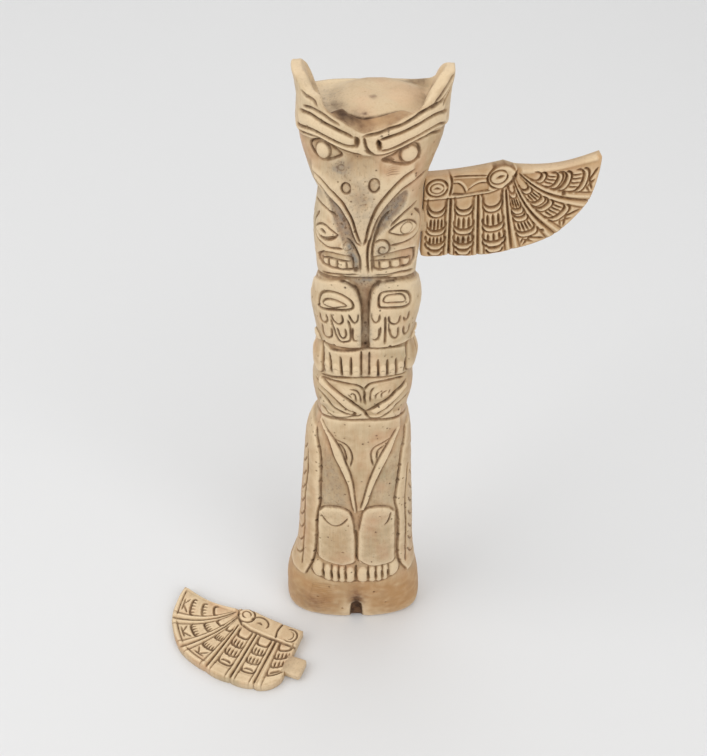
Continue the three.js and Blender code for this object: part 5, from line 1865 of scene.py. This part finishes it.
            finish = BoneFinish("fitted_wing_bone", (0.45, 0.28, 0.135), (0.62, 0.42, 0.225),
                                (0.40, 0.21, 0.08), wash_and_shade=(0.22, 0.105, 0.035),
                                dirt_and_shadow=(0.10, 0.045, 0.014), wash_and_shade_strength=1.0)
        else:
            finish = BoneFinish("loose_wing_bone", (0.58, 0.42, 0.25), (0.70, 0.54, 0.345),
                                (0.44, 0.275, 0.13), wash_and_shade=(0.24, 0.145, 0.075),
                                dirt_and_shadow=(0.12, 0.068, 0.035), wash_and_shade_strength=1.0)
        return mesh_piece(f"{self.kind.value}_carved", world, faces, full, finish, self.triangle_limit)

    def edge_gap(self, u: np.ndarray, v: np.ndarray) -> np.ndarray:
        """Distance of each grid point from the wing's outline.

        Args:
            u: Places along the span.
            v: Places up the wing.

        Returns:
            The distances.
        """
        place = np.stack([u, v], axis=-1)
        outline = np.concatenate([place[0], place[1:-1:3, -1], place[-1, ::-1], place[-2:0:-6, 0]])
        gap = np.full(u.shape, FAR)
        for a, b in zip(outline, np.roll(outline, -1, axis=0)):
            d = b - a
            s = np.clip(((u - a[0]) * d[0] + (v - a[1]) * d[1]) / (d @ d + TINY), 0, 1)
            gap = np.minimum(gap, (u - a[0] - s * d[0]) ** 2 + (v - a[1] - s * d[1]) ** 2)
        return np.sqrt(gap)

    def tab_box(self, start: int) -> tuple[np.ndarray, np.ndarray]:
        """The tab: a bar with the section |y / a|^n + |z / b|^n = 1, n its squareness, closed at both ends.

        Args:
            start: Number of its first vertex.

        Returns:
            Its points in the wing's own axes, and its faces.
        """
        sides = self.tab_sides
        low_u, high_u, low_v, high_v = self.tab
        middle = (low_v + high_v) / 2
        turn = np.linspace(0, 2 * math.pi, sides, endpoint=False)
        power = 2.0 / self.tab_squareness
        y = np.sign(np.cos(turn)) * np.abs(np.cos(turn)) ** power
        z = np.sign(np.sin(turn)) * np.abs(np.sin(turn)) ** power
        rings = []
        for u, size in ((low_u, 0.80), (low_u + 0.15, 0.90), (low_u + 0.6, 1.0), (high_u, 1.0)):
            rings.append(np.stack([np.full(sides, u), middle + y * size * (high_v - low_v) / 2,
                                   -self.thickness / 2 + z * size * self.tab_thickness / 2], axis=1))
        ends = [[u, middle, -self.thickness / 2] for u in (low_u, high_u)]
        points = np.concatenate([*rings, ends])
        k = np.arange(sides)
        after = (k + 1) % sides
        first, last = (np.full(sides, len(points) - back) for back in (2, 1))
        far = (len(rings) - 1) * sides
        near_lid = np.stack([after, k, first, first], axis=1)
        far_lid = np.stack([k + far, after + far, last, last], axis=1)
        return points, np.concatenate([strips(len(rings), sides, True), near_lid, far_lid]) + start


# ---- floor, light and camera ----


def aimed(name: str, data: bpy.types.ID, at: Triple, target: Triple) -> bpy.types.Object:
    """Hangs a lamp or a camera so that it faces a place.

    Args:
        name: Its name.
        data: The lamp's or the camera's own data.
        at: Where it hangs.
        target: The place that it faces.

    Returns:
        The object.
    """
    made = bpy.data.objects.new(name, data)
    made.location = at
    made.rotation_mode = "QUATERNION"
    made.rotation_quaternion = (Vector(target) - Vector(at)).to_track_quat("-Z", "Y")
    bpy.context.scene.collection.objects.link(made)
    return made


@dataclass
class Studio:
    """A pale floor that curves up into a wall, soft light from both sides, and the camera, all in metres.

    A lamp is a name, a place, a size and its watts.
    """

    camera_at: Triple = (0.0, -0.27496, 0.34916)
    looks_at: Triple = (0.0, 0.0, 0.1076)
    lens: float = 54.76
    lamps: Sequence[tuple[str, Triple, float, float]] = (
        ("left_soft", (-0.95, -0.35, 0.8), 1.0, 6.6),
        ("right_soft", (0.6, -0.95, 0.85), 1.0, 7.4),
        ("back_soft", (0.0, 0.7, 1.2), 1.4, 5.5))
    lit: Triple = (0.0, 0.0, 0.1)
    ambient: float = 0.60
    half_width: float = 2.5
    front: float = -2.0
    curve_from: float = 0.9
    radius: float = 0.6
    wall_top: float = 2.4

    def floor(self) -> None:
        """Builds the sweep: flat to the front, then a quarter circle up to the wall."""
        angle = np.linspace(0, math.pi / 2, 25)
        y = np.concatenate([[self.front], self.curve_from + self.radius * np.sin(angle),
                            [self.curve_from + self.radius]])
        z = np.concatenate([[0.0], self.radius - self.radius * np.cos(angle), [self.wall_top]])
        x, y = np.meshgrid([-self.half_width, self.half_width], y)
        points = np.stack([x, y, np.broadcast_to(z[:, None], x.shape)], axis=-1)
        mesh = bpy.data.meshes.new("sweep")
        mesh.from_pydata(points.reshape(-1, 3).tolist(), [], strips(len(z), 2, False).tolist())
        mesh.polygons.foreach_set("use_smooth", np.ones(len(mesh.polygons), bool))
        made = bpy.data.materials.new("pale_sweep")
        made.use_nodes = True
        shader = made.node_tree.nodes["Principled BSDF"]
        shader.inputs["Base Color"].default_value = (0.70, 0.70, 0.70, 1.0)
        shader.inputs["Roughness"].default_value = 0.6
        shader.inputs["Specular IOR Level"].default_value = 0.15
        mesh.materials.append(made)
        floor = bpy.data.objects.new("sweep", mesh)
        bpy.context.scene.collection.objects.link(floor)

    def build(self) -> None:
        """Sets out the floor, the lamps, the ambient light and the camera."""
        self.floor()
        for name, at, size, watts in self.lamps:
            light = bpy.data.lights.new(name, "AREA")
            light.size, light.energy = size, watts
            aimed(name, light, at, self.lit)
        world = bpy.data.worlds.new("room")
        world.use_nodes = True
        world.node_tree.nodes["Background"].inputs["Color"].default_value = (1.0, 1.0, 1.0, 1.0)
        world.node_tree.nodes["Background"].inputs["Strength"].default_value = self.ambient
        bpy.context.scene.world = world
        bpy.context.scene.view_settings.view_transform = "Standard"
        camera_data = bpy.data.cameras.new("camera")
        camera_data.lens, camera_data.sensor_width, camera_data.sensor_fit = self.lens, 36.0, "AUTO"
        camera_data.clip_start, camera_data.clip_end = 0.01, 20.0
        bpy.context.scene.camera = aimed("camera", camera_data, self.camera_at, self.looks_at)


def main() -> None:
    """Builds the pole, the two wings and the studio."""
    logging.basicConfig(level=logging.INFO, format="%(message)s")
    sweep, lie = math.radians(6.0), math.radians(-20.4)
    pole = Pole().build()
    fitted = Wing(WingKind.FITTED, root=(19.9, 0.2, 181.0), span=(math.cos(sweep), math.sin(sweep), 0.0),
                  up=(0.0, 0.0, 1.0), out=(math.sin(sweep), -math.cos(sweep), 0.0),
                  warmth=0.35, grain_seed=21).build()
    loose = Wing(WingKind.LOOSE, root=(-18.4, -21.2, 3.8), span=(-math.cos(lie), -math.sin(lie), 0.0),
                 up=(-math.sin(lie), math.cos(lie), 0.0), out=(0.0, 0.0, 1.0),
                 plan=WingPlan(root_bottom=(-0.1, -19.2), root_bulge=2.6)).build()
    for piece, node, slot in ((pole, "pole", "pole_bone"), (fitted, "fitted_wing", "wing_bone"),
                              (loose, "loose_wing", "wing_bone")):
        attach(piece, BODY)
        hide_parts(node)
        mesh = piece.data
        log.info("%s: %d vertices, %d polygons", piece.name, len(mesh.vertices), len(mesh.polygons))
    Studio().build()


if __name__ == "__main__":
    main()
